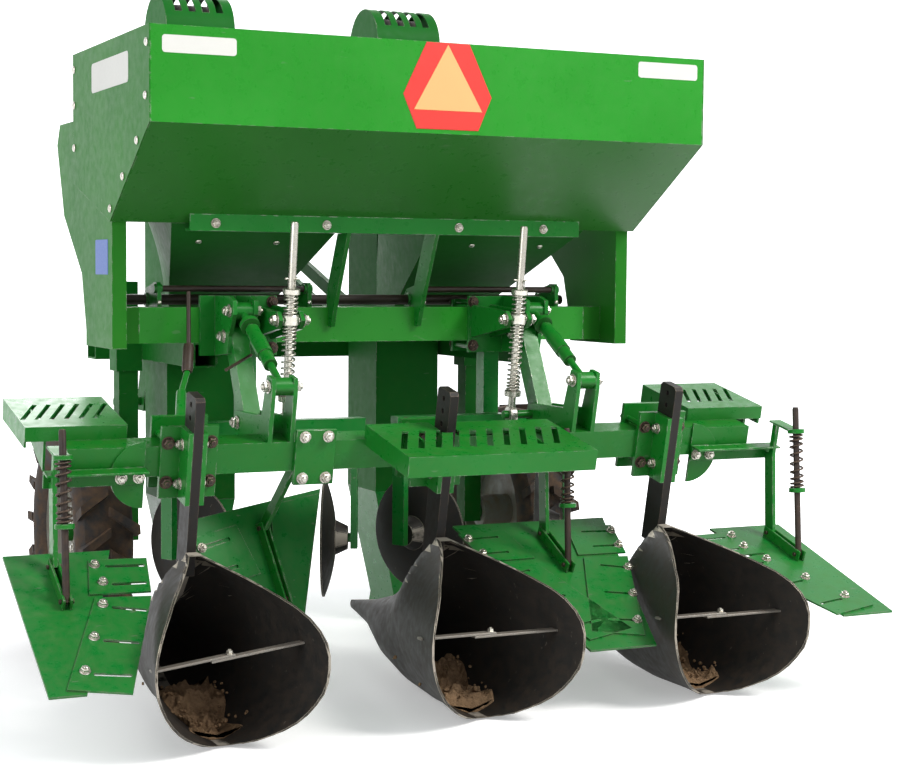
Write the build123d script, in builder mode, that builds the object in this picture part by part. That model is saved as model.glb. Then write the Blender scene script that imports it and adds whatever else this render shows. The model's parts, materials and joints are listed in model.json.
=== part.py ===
"""Two-row potato planter, mounted type, seen as the assembly of its welded and bolted pieces.

X runs across the machine to its right, Y in the direction of travel and Z up from the ground.
The origin lies on the ground below the main beam. All lengths are in millimetres.
"""
import os
from math import atan2, cos, degrees, hypot, pi, radians, sin, tan

from build123d import *

# Driving dimensions
row_spacing = 700
seat_gap = 0.3
run_gap = 0.1
cut_over = 20

# Main beam and side frames
beam_size = 100
beam_wall = 6
beam_length = 1400
beam_z = 1003
side_tube = 70
side_wall = 5
side_x = 510
front_beam_length = 1200
front_beam_y = 866

# Three-point headstock
hitch_pin_radius = 14
hitch_pin_length = 90
hitch_shoulder_x = 412.5
hitch_pin_z = 720
hitch_plate = 16
mast_height = 610
mast_pin_radius = 12.75
mast_gap = 52
mast_bar = 80
mast_foot_x = 150

# Wheels
wheel_x = 725
wheel_y = 508
tyre_radius = 358
tyre_width = 170
lug_height = 28
lug_count = 18
lug_width = 26
rim_radius = 205
rim_wall = 4
hub_radius = 52
axle_radius = 25
leg_size = 60
leg_top_z = 1120

# Hopper
hopper_half = 810
hopper_wall = 4
hopper_top_z = 1764
hopper_back_y = -535
hopper_front_y = 239
hopper_bend_z = 1523
hopper_low_y = -156
hopper_low_z = 1284
hopper_front_low_z = 1400

# Cup elevators
lift_width = 220
lift_depth = 240
lift_y = 613
lift_wall = 4
lift_low_z = 440
lift_top_z = 2009
pan_low_z = 930
pan_high_z = 1180
pulley_radius = 85
pulley_shaft_radius = 15
belt_wall = 6
belt_width = 140
belt_low_z = 560
cup_count = 24
cup_size = 60
cup_depth = 22

# Rear gang: tool bar, shanks and steps, pitched together about the bar
bar_size = 80
bar_wall = 8
bar_length = 2020
bar_y = -452
bar_z = 680
gang_tilt = 12
shank_width = 80
shank_thick = 25
shank_top = 185
shank_low = -500
step_height = 78
step_wall = 6

# Ridging bodies
ridger_wall = 6
ridger_half = 217
ridger_high = 440

# Linkage between main beam and rear gang
link_x = 450
rod_x = 348
rod_radius = 11
link_pin = 12

# Covering discs
disc_radius = 172
disc_wall = 5
disc_dish = 32
disc_y = -64
disc_z = 385
disc_reach = 230
disc_angle = 25
disc_pin = 14

# Ridge boards
board_wall = 6

row_xs = (-row_spacing / 2, row_spacing / 2)
ridger_xs = (-row_spacing, 0, row_spacing)
sides = (-1, 1)
gang = Plane(
    origin=(0, bar_y, bar_z),
    x_dir=(1, 0, 0),
    z_dir=(0, -sin(radians(gang_tilt)), cos(radians(gang_tilt))),
)
lift_top_centre_z = lift_top_z - lift_depth / 2


def save(piece, name):
    """Label a finished piece and write it as a file of the same name."""
    piece.part.label = name
    export_step(piece.part, f"parts/{name}.step")


def bar_between(start, end, radius, mode=Mode.ADD):
    """Round bar from one point to another."""
    run = Vector(*end) - Vector(*start)
    with BuildSketch(Plane(origin=start, z_dir=run)) as face:
        Circle(radius)
    extrude(face.sketch, amount=run.length, mode=mode)


def side_plate(x_low, x_high, points, mode=Mode.ADD):
    """Plate with an outline of (y, z) points, filling the width between two x values."""
    with BuildSketch(Plane.YZ.offset(x_low)) as face:
        with BuildLine():
            Polyline(*points, close=True)
        make_face()
    extrude(face.sketch, amount=x_high - x_low, mode=mode)


def block(low, high, mode=Mode.ADD):
    """Rectangular block between two opposite corners."""
    size = [b - a for a, b in zip(low, high)]
    with Locations(tuple((a + b) / 2 for a, b in zip(low, high))):
        Box(*size, mode=mode)


def make_main_beam():
    with BuildPart() as main_beam:
        with BuildSketch(Plane.YZ.offset(-beam_length / 2)):
            with Locations((0, beam_z)):
                Rectangle(beam_size, beam_size)
                Rectangle(beam_size - 2 * beam_wall, beam_size - 2 * beam_wall, mode=Mode.SUBTRACT)
        extrude(amount=beam_length)
    save(main_beam, "main_beam")


side_z = beam_z - beam_size / 2 - side_tube / 2
front_back_y = front_beam_y - beam_size / 2
sleeve_size = leg_size + 20
leg_x = side_x + side_tube / 2 + sleeve_size / 2


def make_side_frames():
    """Lengthwise tubes under the beam, each with the sleeve that holds a wheel leg."""
    with BuildPart() as side_frames:
        for side in sides:
            tube_length = front_back_y + beam_size / 2
            with Locations((side * side_x, front_back_y - tube_length / 2, side_z)):
                Box(side_tube, tube_length, side_tube)
                Box(side_tube - 2 * side_wall, tube_length, side_tube - 2 * side_wall, mode=Mode.SUBTRACT)
            with Locations((side * leg_x, wheel_y, side_z)):
                Box(sleeve_size, sleeve_size, 2 * side_tube)
                Box(leg_size + 2 * run_gap, leg_size + 2 * run_gap, 2 * side_tube, mode=Mode.SUBTRACT)
    save(side_frames, "side_frames")


mast_pin_z = hitch_pin_z + mast_height
hitch_pin_y = front_beam_y + beam_size / 2 + 40
mast_pin_y = front_beam_y + 20


def make_headstock():
    """Front beam with the lower hitch brackets and the mast of the three-point linkage."""
    front_z = side_z
    with BuildPart() as headstock:
        with Locations((0, front_beam_y, front_z)):
            Box(front_beam_length, beam_size, beam_size)
            Box(front_beam_length, beam_size - 2 * beam_wall, beam_size - 2 * beam_wall, mode=Mode.SUBTRACT)
        front_face_y = front_beam_y + beam_size / 2
        pin_lug = 2.2 * hitch_pin_radius
        for side in sides:
            outer_x = side * hitch_shoulder_x
            inner_x = side * (hitch_shoulder_x - hitch_plate)
            side_plate(
                min(outer_x, inner_x),
                max(outer_x, inner_x),
                [
                    (front_face_y, front_z + beam_size / 2),
                    (front_face_y - beam_size / 2, front_z - beam_size / 2),
                    (hitch_pin_y - pin_lug, hitch_pin_z - pin_lug),
                    (hitch_pin_y + pin_lug, hitch_pin_z - pin_lug),
                    (hitch_pin_y + pin_lug, hitch_pin_z + pin_lug),
                ],
            )
            bar_between(
                (outer_x, hitch_pin_y, hitch_pin_z),
                (outer_x + side * hitch_pin_length, hitch_pin_y, hitch_pin_z),
                hitch_pin_radius,
            )
            plate_x = side * (mast_gap / 2 + hitch_plate / 2)
            foot = Vector(side * mast_foot_x, front_beam_y, front_z + beam_size / 2)
            head = Vector(plate_x, mast_pin_y, mast_pin_z - mast_bar)
            with BuildSketch(Plane(origin=foot, z_dir=head - foot, x_dir=(0, 1, 0))) as leg:
                Rectangle(mast_bar, hitch_plate)
            extrude(leg.sketch, amount=(head - foot).length)
            with Locations((plate_x, mast_pin_y, mast_pin_z - mast_bar / 2)):
                Box(hitch_plate, mast_bar, 2 * mast_bar)
            brace_foot = Vector(plate_x + side * hitch_plate, 0, beam_z - mast_bar / 2)
            brace_head = Vector(plate_x + side * hitch_plate, mast_pin_y, mast_pin_z - mast_bar)
            with BuildSketch(Plane(origin=brace_foot, z_dir=brace_head - brace_foot, x_dir=(1, 0, 0))) as brace:
                Rectangle(hitch_plate, mast_bar / 2)
            extrude(brace.sketch, amount=(brace_head - brace_foot).length)
        bar_between(
            (-mast_gap, mast_pin_y, mast_pin_z),
            (mast_gap, mast_pin_y, mast_pin_z),
            mast_pin_radius,
            Mode.SUBTRACT,
        )
        block((-mast_foot_x, -beam_size / 2, 0), (mast_foot_x, beam_size / 2, beam_z + beam_size / 2), Mode.SUBTRACT)
    save(headstock, "headstock")


def make_wheel(side, word):
    """Tyre with slanted lugs, and the dished rim with its hub."""
    tread = tyre_radius - lug_height
    half = tyre_width / 2
    centre = (side * wheel_x, wheel_y, tyre_radius)
    section = Plane(origin=centre, x_dir=(1, 0, 0), z_dir=(0, -1, 0))
    axis = Axis(centre, (1, 0, 0))
    shoulder = 0.88 * tread
    lug_reach = (tyre_radius**2 - (2.2 * lug_width) ** 2) ** 0.5
    with BuildPart() as tyre:
        with BuildSketch(section):
            with BuildLine():
                Polyline((-0.72 * half, rim_radius), (0.72 * half, rim_radius))
                ThreePointArc((0.72 * half, rim_radius), (half, 0.82 * tread), (0.8 * half, 0.96 * tread))
                ThreePointArc((0.8 * half, 0.96 * tread), (0, tread), (-0.8 * half, 0.96 * tread))
                ThreePointArc((-0.8 * half, 0.96 * tread), (-half, 0.82 * tread), (-0.72 * half, rim_radius))
            make_face()
        revolve(axis=axis)
        for index in range(lug_count):
            for flank in sides:
                turn = 360 / lug_count * (index + 0.25 * flank)
                place = Plane(
                    origin=Vector(*centre) + Vector(0, cos(radians(turn)), sin(radians(turn))) * shoulder,
                    x_dir=(1, 0, 0),
                    z_dir=(0, cos(radians(turn)), sin(radians(turn))),
                )
                with BuildSketch(place) as lug:
                    with BuildLine():
                        Polyline(
                            (0, lug_width),
                            (0, 0),
                            (flank * half, -2.2 * lug_width),
                            (flank * half, -1.2 * lug_width),
                            close=True,
                        )
                    make_face()
                extrude(lug.sketch, amount=lug_reach - shoulder)
    save(tyre, f"tyre_{word}")
    bore = axle_radius + run_gap
    inner = -side * (wheel_x - leg_x - leg_size / 2 - 8)
    outer = side * 30
    with BuildPart() as rim:
        with BuildSketch(section):
            with BuildLine():
                Polyline(
                    (-0.7 * half, rim_radius - seat_gap),
                    (0.7 * half, rim_radius - seat_gap),
                    (0.7 * half, rim_radius - 2 * rim_wall),
                    (0.1 * half, 0.86 * rim_radius),
                    (0.1 * half, 0.5 * rim_radius),
                    (outer, 0.4 * rim_radius),
                    (outer, hub_radius),
                    (outer, bore),
                    (inner, bore),
                    (inner, hub_radius),
                    (0, hub_radius),
                    (-0.1 * half, 0.5 * rim_radius),
                    (-0.1 * half, 0.86 * rim_radius),
                    (-0.7 * half, rim_radius - 2 * rim_wall),
                    close=True,
                ) if side > 0 else Polyline(
                    (0.7 * half, rim_radius - seat_gap),
                    (-0.7 * half, rim_radius - seat_gap),
                    (-0.7 * half, rim_radius - 2 * rim_wall),
                    (-0.1 * half, 0.86 * rim_radius),
                    (-0.1 * half, 0.5 * rim_radius),
                    (outer, 0.4 * rim_radius),
                    (outer, hub_radius),
                    (outer, bore),
                    (inner, bore),
                    (inner, hub_radius),
                    (0, hub_radius),
                    (0.1 * half, 0.5 * rim_radius),
                    (0.1 * half, 0.86 * rim_radius),
                    (0.7 * half, rim_radius - 2 * rim_wall),
                    close=True,
                )
            make_face()
        revolve(axis=axis)
    save(rim, f"rim_{word}")


def make_wheel_arms():
    """Square legs that slide in the sleeves, each with its stub axle."""
    with BuildPart() as wheel_arms:
        for side in sides:
            low = tyre_radius - leg_size / 2
            with Locations((side * leg_x, wheel_y, (low + leg_top_z) / 2)):
                Box(leg_size, leg_size, leg_top_z - low)
            face_x = side * (leg_x + leg_size / 2)
            bar_between(
                (face_x, wheel_y, tyre_radius), (side * (wheel_x + 45), wheel_y, tyre_radius), axle_radius
            )
    save(wheel_arms, "wheel_arms")


hopper_outline = [
    (hopper_back_y, hopper_top_z),
    (hopper_back_y, hopper_bend_z),
    (hopper_low_y, hopper_low_z),
    (hopper_front_y, hopper_front_low_z),
    (hopper_front_y, hopper_top_z),
]


def make_hopper():
    """Folded hopper shell, open at the top and over the seed funnels, and its two bolted ends."""
    inner_half = hopper_half - hopper_wall
    slope = Vector(hopper_low_y - hopper_back_y, hopper_low_z - hopper_bend_z).normalized()
    normal = Vector(-slope.Y, slope.X) * hopper_wall
    with BuildPart() as hopper_shell:
        side_plate(
            -inner_half,
            inner_half,
            [
                (hopper_back_y, hopper_top_z),
                (hopper_back_y, hopper_bend_z),
                (hopper_low_y, hopper_low_z),
                (hopper_low_y + normal.X, hopper_low_z + normal.Y),
                (hopper_back_y + hopper_wall, hopper_bend_z + hopper_wall),
                (hopper_back_y + hopper_wall, hopper_top_z),
            ],
        )
        block(
            (-inner_half, hopper_front_y - hopper_wall, hopper_front_low_z),
            (inner_half, hopper_front_y, hopper_top_z),
        )
        block(
            (-hopper_wall / 2, hopper_back_y + hopper_wall / 2, hopper_bend_z),
            (hopper_wall / 2, hopper_front_y - hopper_wall / 2, hopper_bend_z + row_spacing / 7),
        )
    save(hopper_shell, "hopper_shell")
    for side, word in zip(sides, ("left", "right")):
        with BuildPart() as hopper_side:
            edge = side * hopper_half
            skin = side * inner_half
            side_plate(min(edge, skin), max(edge, skin), hopper_outline)
        save(hopper_side, f"hopper_side_{word}")


funnel_inner_x = 143
funnel_outer_x = 640


def make_seed_funnels():
    """Hollow funnels from the hopper's open bottom to each elevator."""
    lift_back_y = lift_y - lift_depth / 2
    mouth_half = lift_width / 2
    rise = degrees(atan2(hopper_front_low_z - hopper_low_z, hopper_front_y - hopper_low_y))
    top_length = hypot(hopper_front_y - hopper_low_y, hopper_front_low_z - hopper_low_z)
    with BuildPart() as seed_funnels:
        for side, row_x in zip(sides, row_xs):
            top_x = side * (funnel_inner_x + funnel_outer_x) / 2
            top_width = funnel_outer_x - funnel_inner_x
            tilt = radians(rise)
            top = Plane(
                origin=(top_x, hopper_low_y, hopper_low_z),
                x_dir=(1, 0, 0),
                z_dir=(0, -sin(tilt), cos(tilt)),
            ).offset(-seat_gap)
            mouth = Plane(
                origin=(row_x, lift_back_y, (pan_low_z + pan_high_z) / 2),
                x_dir=(1, 0, 0),
                z_dir=(0, -1, 0),
            ).offset(seat_gap)
            for shrink, mode in ((0, Mode.ADD), (hopper_wall, Mode.SUBTRACT)):
                with BuildSketch(top) as upper:
                    with Locations((0, top_length / 2)):
                        Rectangle(top_width - 2 * shrink, top_length - 2 * shrink)
                with BuildSketch(mouth) as lower:
                    Rectangle(2 * mouth_half - 2 * shrink, pan_high_z - pan_low_z - 2 * shrink)
                loft([upper.sketch, lower.sketch], mode=mode)
    save(seed_funnels, "seed_funnels")


def make_elevators():
    """Sheet ducts with round slotted tops; the window towards the funnel is open."""
    for row_x, word in zip(row_xs, ("left", "right")):
        with BuildPart() as elevator:
            for shrink, mode in ((0, Mode.ADD), (lift_wall, Mode.SUBTRACT)):
                with BuildSketch(Plane.YZ.offset(row_x - lift_width / 2 + shrink)) as face:
                    with BuildLine():
                        half = lift_depth / 2 - shrink
                        Polyline(
                            (lift_y - half, lift_top_centre_z),
                            (lift_y - half, lift_low_z),
                            (lift_y + half, lift_low_z),
                            (lift_y + half, lift_top_centre_z),
                        )
                        ThreePointArc(
                            (lift_y + half, lift_top_centre_z),
                            (lift_y, lift_top_centre_z + half),
                            (lift_y - half, lift_top_centre_z),
                        )
                    make_face()
                extrude(face.sketch, amount=lift_width - 2 * shrink, mode=mode)
            block(
                (row_x - lift_width / 2 + 3 * lift_wall, lift_y - lift_depth, pan_low_z),
                (row_x + lift_width / 2 - 3 * lift_wall, lift_y - lift_depth / 2 + 2 * lift_wall, pan_high_z),
                Mode.SUBTRACT,
            )
            slot_pitch = lift_width / 5
            for index in range(4):
                slot_x = row_x + (index - 1.5) * slot_pitch
                block(
                    (slot_x - slot_pitch / 4, lift_y - lift_depth / 2, lift_top_z - lift_depth / 4),
                    (slot_x + slot_pitch / 4, lift_y + lift_depth / 2, lift_top_z + cut_over),
                    Mode.SUBTRACT,
                )
        save(elevator, f"elevator_{word}")


def make_cup_belts():
    """Endless belt of each elevator with its cups, hung over the upper pulley."""
    outer = pulley_radius + belt_wall
    straight = lift_top_centre_z - belt_low_z
    loop = 2 * straight + 2 * pi * outer
    with BuildPart() as cup_belts:
        for row_x in row_xs:
            for radius, mode in ((outer, Mode.ADD), (pulley_radius, Mode.SUBTRACT)):
                with BuildSketch(Plane.YZ.offset(row_x - belt_width / 2)) as face:
                    with BuildLine():
                        Polyline((lift_y - radius, lift_top_centre_z), (lift_y - radius, belt_low_z))
                        ThreePointArc(
                            (lift_y - radius, belt_low_z), (lift_y, belt_low_z - radius), (lift_y + radius, belt_low_z)
                        )
                        Polyline((lift_y + radius, belt_low_z), (lift_y + radius, lift_top_centre_z))
                        ThreePointArc(
                            (lift_y + radius, lift_top_centre_z),
                            (lift_y, lift_top_centre_z + radius),
                            (lift_y - radius, lift_top_centre_z),
                        )
                    make_face()
                extrude(face.sketch, amount=belt_width, mode=mode)
            centre = (row_x, lift_y, lift_top_centre_z)
            shaft_half = Vector(lift_width / 2 - lift_wall - seat_gap, 0, 0)
            rim_half = Vector(belt_width / 2, 0, 0)
            bar_between(Vector(*centre) - rim_half, Vector(*centre) + rim_half, pulley_radius)
            bar_between(Vector(*centre) - shaft_half, Vector(*centre) + shaft_half, pulley_shaft_radius)
    save(cup_belts, "cup_belts")


def gang_point(x, y, z):
    """Place in the machine of a point given from the tool bar's centre in the pitched frame."""
    return gang.from_local_coords(Vector(x, y, z))


def gang_block(low, high, mode=Mode.ADD):
    """Rectangular block between two corners given in the pitched frame."""
    size = [b - a for a, b in zip(low, high)]
    middle = [(a + b) / 2 for a, b in zip(low, high)]
    with BuildSketch(gang.offset(middle[2])) as face:
        with Locations((middle[0], middle[1])):
            Rectangle(size[0], size[1])
    extrude(face.sketch, amount=size[2] / 2, both=True, mode=mode)


def gang_plate(x_low, x_high, points, mode=Mode.ADD):
    """Plate across the bar with an outline of (y, z) points in the pitched frame."""
    place = Plane(origin=gang_point(x_low, 0, 0), x_dir=gang.y_dir, z_dir=(1, 0, 0))
    with BuildSketch(place) as face:
        with BuildLine():
            Polyline(*points, close=True)
        make_face()
    extrude(face.sketch, amount=x_high - x_low, mode=mode)


def stepped_rod(low, high, stations):
    """Round rod between two points; each station gives a start share, an end share and a radius."""
    run = Vector(*high) - Vector(*low)
    place = Plane(origin=low, z_dir=run)
    for start_share, end_share, radius in stations:
        with BuildSketch(place.offset(start_share * run.length)) as face:
            Circle(radius)
        extrude(face.sketch, amount=(end_share - start_share) * run.length)


rail_thick = 6
rail_deep = 44
rail_half = 600
rail_y = -192
gusset_x = 136
gusset_thick = 12
floor_slope = (hopper_bend_z - hopper_low_z) / (hopper_low_y - hopper_back_y)


def make_hopper_rail():
    """Rail under the hopper's sloping floor, on two gussets that stand against the main beam."""
    def floor_z(y):
        return hopper_low_z + (hopper_low_y - y) * floor_slope

    low_z = floor_z(rail_y) - rail_deep
    back = rail_y - rail_thick / 2
    front = rail_y + rail_thick / 2
    beam_back = -beam_size / 2
    beam_top = beam_z + beam_size / 2
    with BuildPart() as hopper_rail:
        side_plate(
            -rail_half,
            rail_half,
            [(back, low_z), (front, low_z), (front, floor_z(front)), (back, floor_z(back))],
        )
        side_plate(
            -rail_half,
            rail_half,
            [
                (back, low_z),
                (back + rail_deep, low_z),
                (back + rail_deep, low_z + rail_thick),
                (back, low_z + rail_thick),
            ],
        )
        for side in sides:
            side_plate(
                side * gusset_x - gusset_thick / 2,
                side * gusset_x + gusset_thick / 2,
                [
                    (back, low_z),
                    (back + 1.7 * rail_deep, low_z),
                    (beam_back + gusset_thick, beam_top + rail_deep),
                    (beam_back + gusset_thick, beam_top),
                    (beam_back, beam_top),
                    (beam_back, beam_z - beam_wall),
                    (beam_back - rail_deep / 2, beam_z - beam_wall),
                    (beam_back - rail_deep, beam_top),
                ],
            )
    save(hopper_rail, "hopper_rail")


feed_radius = 15
feed_y = 96
feed_z = 1072
feed_half = 700
feed_rod_radius = 9
feed_rod_y = 12
feed_rod_z = 1104


def make_feed_shafts():
    """Drive shaft of the feed agitators with its bearing plates, and the short rods beside it."""
    beam_top = beam_z + beam_size / 2
    plate = 8
    with BuildPart() as feed_shafts:
        bar_between((-feed_half, feed_y, feed_z), (feed_half, feed_y, feed_z), feed_radius)
        for side in sides:
            for reach in (0.26, 0.9):
                x = side * reach * feed_half
                block(
                    (x - plate / 2, feed_rod_y - 2 * feed_rod_radius, beam_top),
                    (x + plate / 2, feed_y + 2 * feed_radius, feed_rod_z + 2 * feed_rod_radius),
                )
            bar_between(
                (side * 0.26 * feed_half, feed_rod_y, feed_rod_z),
                (side * 0.9 * feed_half, feed_rod_y, feed_rod_z),
                feed_rod_radius,
            )
    save(feed_shafts, "feed_shafts")


cover_thick = 40
cover_x = 780
cover_back_y = -140
cover_low_z = 942
cover_steps = ((139, 942), (139, 986), (188, 1145), (394, 1312), (475, 1522), (440, 1580))


def make_drive_covers():
    """Cases of the belt drive at the ends, each on a stub from the main beam's end."""
    rise = (hopper_front_low_z - hopper_low_z) / (hopper_front_y - hopper_low_y)
    seat = hopper_front_y + seat_gap
    for side, word in zip(sides, ("left", "right")):
        with BuildPart() as drive_cover:
            side_plate(
                side * cover_x - cover_thick / 2,
                side * cover_x + cover_thick / 2,
                [
                    (cover_back_y, cover_low_z),
                    *cover_steps,
                    (seat, cover_steps[-1][1]),
                    (seat, hopper_front_low_z - seat_gap),
                    (cover_back_y, hopper_low_z + (cover_back_y - hopper_low_y) * rise - seat_gap),
                ],
            )
            stub = sorted((side * beam_length / 2, side * (cover_x - cover_thick / 2)))
            block(
                (stub[0], -beam_size / 2, beam_z - beam_size / 2),
                (stub[1], beam_size / 2, beam_z + beam_size / 2),
            )
        save(drive_cover, f"drive_cover_{word}")


top_pin = (-192, 1046)
arm_pin = (-141, 975)
low_pin = (-256, 745)
swivel_pin = (-290, 1022)
rod_head = (-326, 1288)
eye_pin = (-16, 184)
arm_half = 24
ear_wall = 12
back_plate = 12


def make_link_brackets():
    """Clamped plates on the beam with ears for the top link, the lower arm and the rod's swivel."""
    back = -beam_size / 2
    high = top_pin[1] + 40
    low = beam_z - 85
    with BuildPart() as link_brackets:
        for side in sides:
            plate_edges = sorted((side * (rod_x - 45), side * (link_x + 80)))
            block((plate_edges[0], back - back_plate, low), (plate_edges[1], back, high))
            front_edges = sorted((side * (rod_x - 45), side * (link_x + 20)))
            block((front_edges[0], -back, low), (front_edges[1], -back + back_plate, beam_z + 70))
            for ear in sides:
                inner = side * link_x + ear * (arm_half + seat_gap)
                edges = sorted((inner, inner + ear * ear_wall))
                side_plate(
                    *edges,
                    [
                        (back - back_plate, high),
                        (back - back_plate, low),
                        (arm_pin[0] - 30, low + 10),
                        (arm_pin[0] - 40, arm_pin[1]),
                        (top_pin[0] - 28, top_pin[1] - 10),
                        (top_pin[0] - 28, top_pin[1] + 28),
                        (top_pin[0] + 10, high),
                    ],
                )
                inner = side * rod_x + ear * 26
                edges = sorted((inner, inner + ear * ear_wall))
                side_plate(
                    *edges,
                    [
                        (back - back_plate, swivel_pin[1] + 38),
                        (back - back_plate, swivel_pin[1] - 60),
                        (swivel_pin[0], swivel_pin[1] - 24),
                        (swivel_pin[0] - 22, swivel_pin[1]),
                        (swivel_pin[0], swivel_pin[1] + 24),
                    ],
                )
            for y, z in (top_pin, arm_pin):
                reach = arm_half + ear_wall + 2 * seat_gap
                bar_between((side * link_x - reach, y, z), (side * link_x + reach, y, z), link_pin)
            for x in front_edges:
                inset = x - 14 if x == front_edges[1] else x + 14
                for z in (beam_z - beam_size / 2 - 16, beam_z + beam_size / 2 + 14):
                    bar_between((inset, back - 2 * back_plate, z), (inset, -back + 2 * back_plate, z), 8)
    save(link_brackets, "link_brackets")


def make_lower_arms():
    """Box arms from the beam brackets to the long pins in front of the tool bar."""
    run = Vector(0, low_pin[0] - arm_pin[0], low_pin[1] - arm_pin[1])
    with BuildPart() as lower_arms:
        for side in sides:
            place = Plane(
                origin=(side * link_x, *arm_pin), x_dir=(1, 0, 0), z_dir=run
            )
            with BuildSketch(place) as face:
                Rectangle(2 * arm_half, 56)
                Rectangle(2 * arm_half - 14, 42, mode=Mode.SUBTRACT)
            extrude(face.sketch, amount=run.length)
            for y, z in (arm_pin, low_pin):
                bar_between(
                    (side * link_x - arm_half, y, z), (side * link_x + arm_half, y, z), 28
                )
                bar_between(
                    (side * link_x - arm_half, y, z),
                    (side * link_x + arm_half, y, z),
                    link_pin + seat_gap,
                    Mode.SUBTRACT,
                )
    save(lower_arms, "lower_arms")


def make_turnbuckles():
    """Adjustable top links with right and left hand ends."""
    foot = gang_point(0, *eye_pin)
    with BuildPart() as turnbuckles:
        for side in sides:
            head = Vector(side * link_x, *top_pin)
            low = Vector(side * link_x, foot.Y, foot.Z)
            stepped_rod(low, head, ((0, 1, 10), (0.27, 0.74, 19), (0.4, 0.6, 22), (0.78, 0.82, 27)))
            for eye in (head, low):
                bar_between(
                    (side * link_x - arm_half, eye.Y, eye.Z), (side * link_x + arm_half, eye.Y, eye.Z), 24
                )
                bar_between(
                    (side * link_x - arm_half, eye.Y, eye.Z),
                    (side * link_x + arm_half, eye.Y, eye.Z),
                    link_pin + seat_gap,
                    Mode.SUBTRACT,
                )
    save(turnbuckles, "turnbuckles")


def make_link_uprights():
    """Plates on the tool bar that hold the top link's eye and the lower arm's pin."""
    bar_half = bar_size / 2
    low_eye = gang.to_local_coords(Vector(0, *low_pin))
    with BuildPart() as link_uprights:
        for side in sides:
            for ear in sides:
                inner = side * link_x + ear * (arm_half + seat_gap)
                edges = sorted((inner, inner + ear * ear_wall))
                gang_plate(
                    *edges,
                    [
                        (-bar_half, bar_half),
                        (eye_pin[0] - 26, eye_pin[1] - 20),
                        (eye_pin[0] - 20, eye_pin[1] + 26),
                        (eye_pin[0] + 20, eye_pin[1] + 26),
                        (eye_pin[0] + 40, eye_pin[1] - 90),
                        (low_eye.Y + 26, low_eye.Z + 26),
                        (low_eye.Y + 26, low_eye.Z - 24),
                        (bar_half, -bar_half / 2),
                        (bar_half, bar_half),
                    ],
                )
            for point, reach_low, reach_high in (
                (gang_point(0, *eye_pin), -44, 44),
                (Vector(0, *low_pin), -side * 40 if side < 0 else -(link_x - rod_x) - 26, 40),
            ):
                if side < 0 and point.Z < 800:
                    reach_low, reach_high = -40, link_x - rod_x + 26
                bar_between(
                    (side * link_x + reach_low, point.Y, point.Z),
                    (side * link_x + reach_high, point.Y, point.Z),
                    link_pin,
                )
    save(link_uprights, "link_uprights")


def make_pressure_rods():
    """Rods with their springs, hung in swivels on the beam and hooked to the lower pins."""
    with BuildPart() as pressure_rods:
        for side in sides:
            low = (side * rod_x, *low_pin)
            high = (side * rod_x, *rod_head)
            stepped_rod(
                low,
                high,
                (
                    (0, 1, rod_radius),
                    (0.13, 0.47, 20),
                    (0.49, 0.55, 24),
                    (0.55, 0.63, 20),
                    (0.64, 0.66, 24),
                ),
            )
            bar_between((side * rod_x - 12, *low_pin), (side * rod_x + 12, *low_pin), 24)
            bar_between(
                (side * rod_x - 12, *low_pin), (side * rod_x + 12, *low_pin), link_pin + seat_gap, Mode.SUBTRACT
            )
            bar_between((side * rod_x - 26 + seat_gap, *swivel_pin), (side * rod_x + 26 - seat_gap, *swivel_pin), 14)
    save(pressure_rods, "pressure_rods")


def make_tool_bar():
    with BuildPart() as tool_bar:
        with BuildSketch(Plane(origin=gang_point(-bar_length / 2, 0, 0), x_dir=gang.y_dir, z_dir=(1, 0, 0))):
            Rectangle(bar_size, bar_size)
            Rectangle(bar_size - 2 * bar_wall, bar_size - 2 * bar_wall, mode=Mode.SUBTRACT)
        extrude(amount=bar_length)
    save(tool_bar, "tool_bar")


clamp_half = 75
clamp_wall = 12
clamp_highs = (95, 68, 95)


def make_shank_clamps():
    """Cheeks either side of each shank, with the bolted plates that grip the bar."""
    bar_half = bar_size / 2
    cheek = shank_thick / 2 + seat_gap
    with BuildPart() as shank_clamps:
        for x, high in zip(ridger_xs, clamp_highs):
            low = -95
            for side in sides:
                near = x + side * cheek
                edges = sorted((near, near + side * clamp_wall))
                gang_block((edges[0], -bar_half - shank_width, low), (edges[1], -bar_half, high))
                wing = sorted((near + side * clamp_wall, x + side * clamp_half))
                gang_block((wing[0], -bar_half - clamp_wall, low), (wing[1], -bar_half, high))
                for level in (bar_half + 12, -bar_half - 12):
                    bolt = gang_point(x + side * (clamp_half - 18), 0, level)
                    reach = gang.y_dir * (bar_half + 2.2 * clamp_wall)
                    bar_between(bolt - reach, bolt + reach, 8)
            gang_block((x - clamp_half, bar_half, low), (x + clamp_half, bar_half + clamp_wall, high))
    save(shank_clamps, "shank_clamps")


def make_ridger_shanks():
    bar_half = bar_size / 2
    with BuildPart() as ridger_shanks:
        for x in ridger_xs:
            gang_block(
                (x - shank_thick / 2, -bar_half - shank_width, shank_low),
                (x + shank_thick / 2, -bar_half, shank_top),
            )
    save(ridger_shanks, "ridger_shanks")


ridger_y = bar_y - bar_size / 2
ridger_stations = (
    # place behind the bar's back, half width, top, bottom
    (480, 12, 190, 150),
    (300, 52, 222, 66),
    (120, 104, 290, 14),
    (-45, 150, 440, 0),
    (-220, 190, 440, 0),
    (-410, 217, 440, 0),
)
ridger_tip = 15
rim_top = -45
rim_back = -410
rim_low = -180


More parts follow.
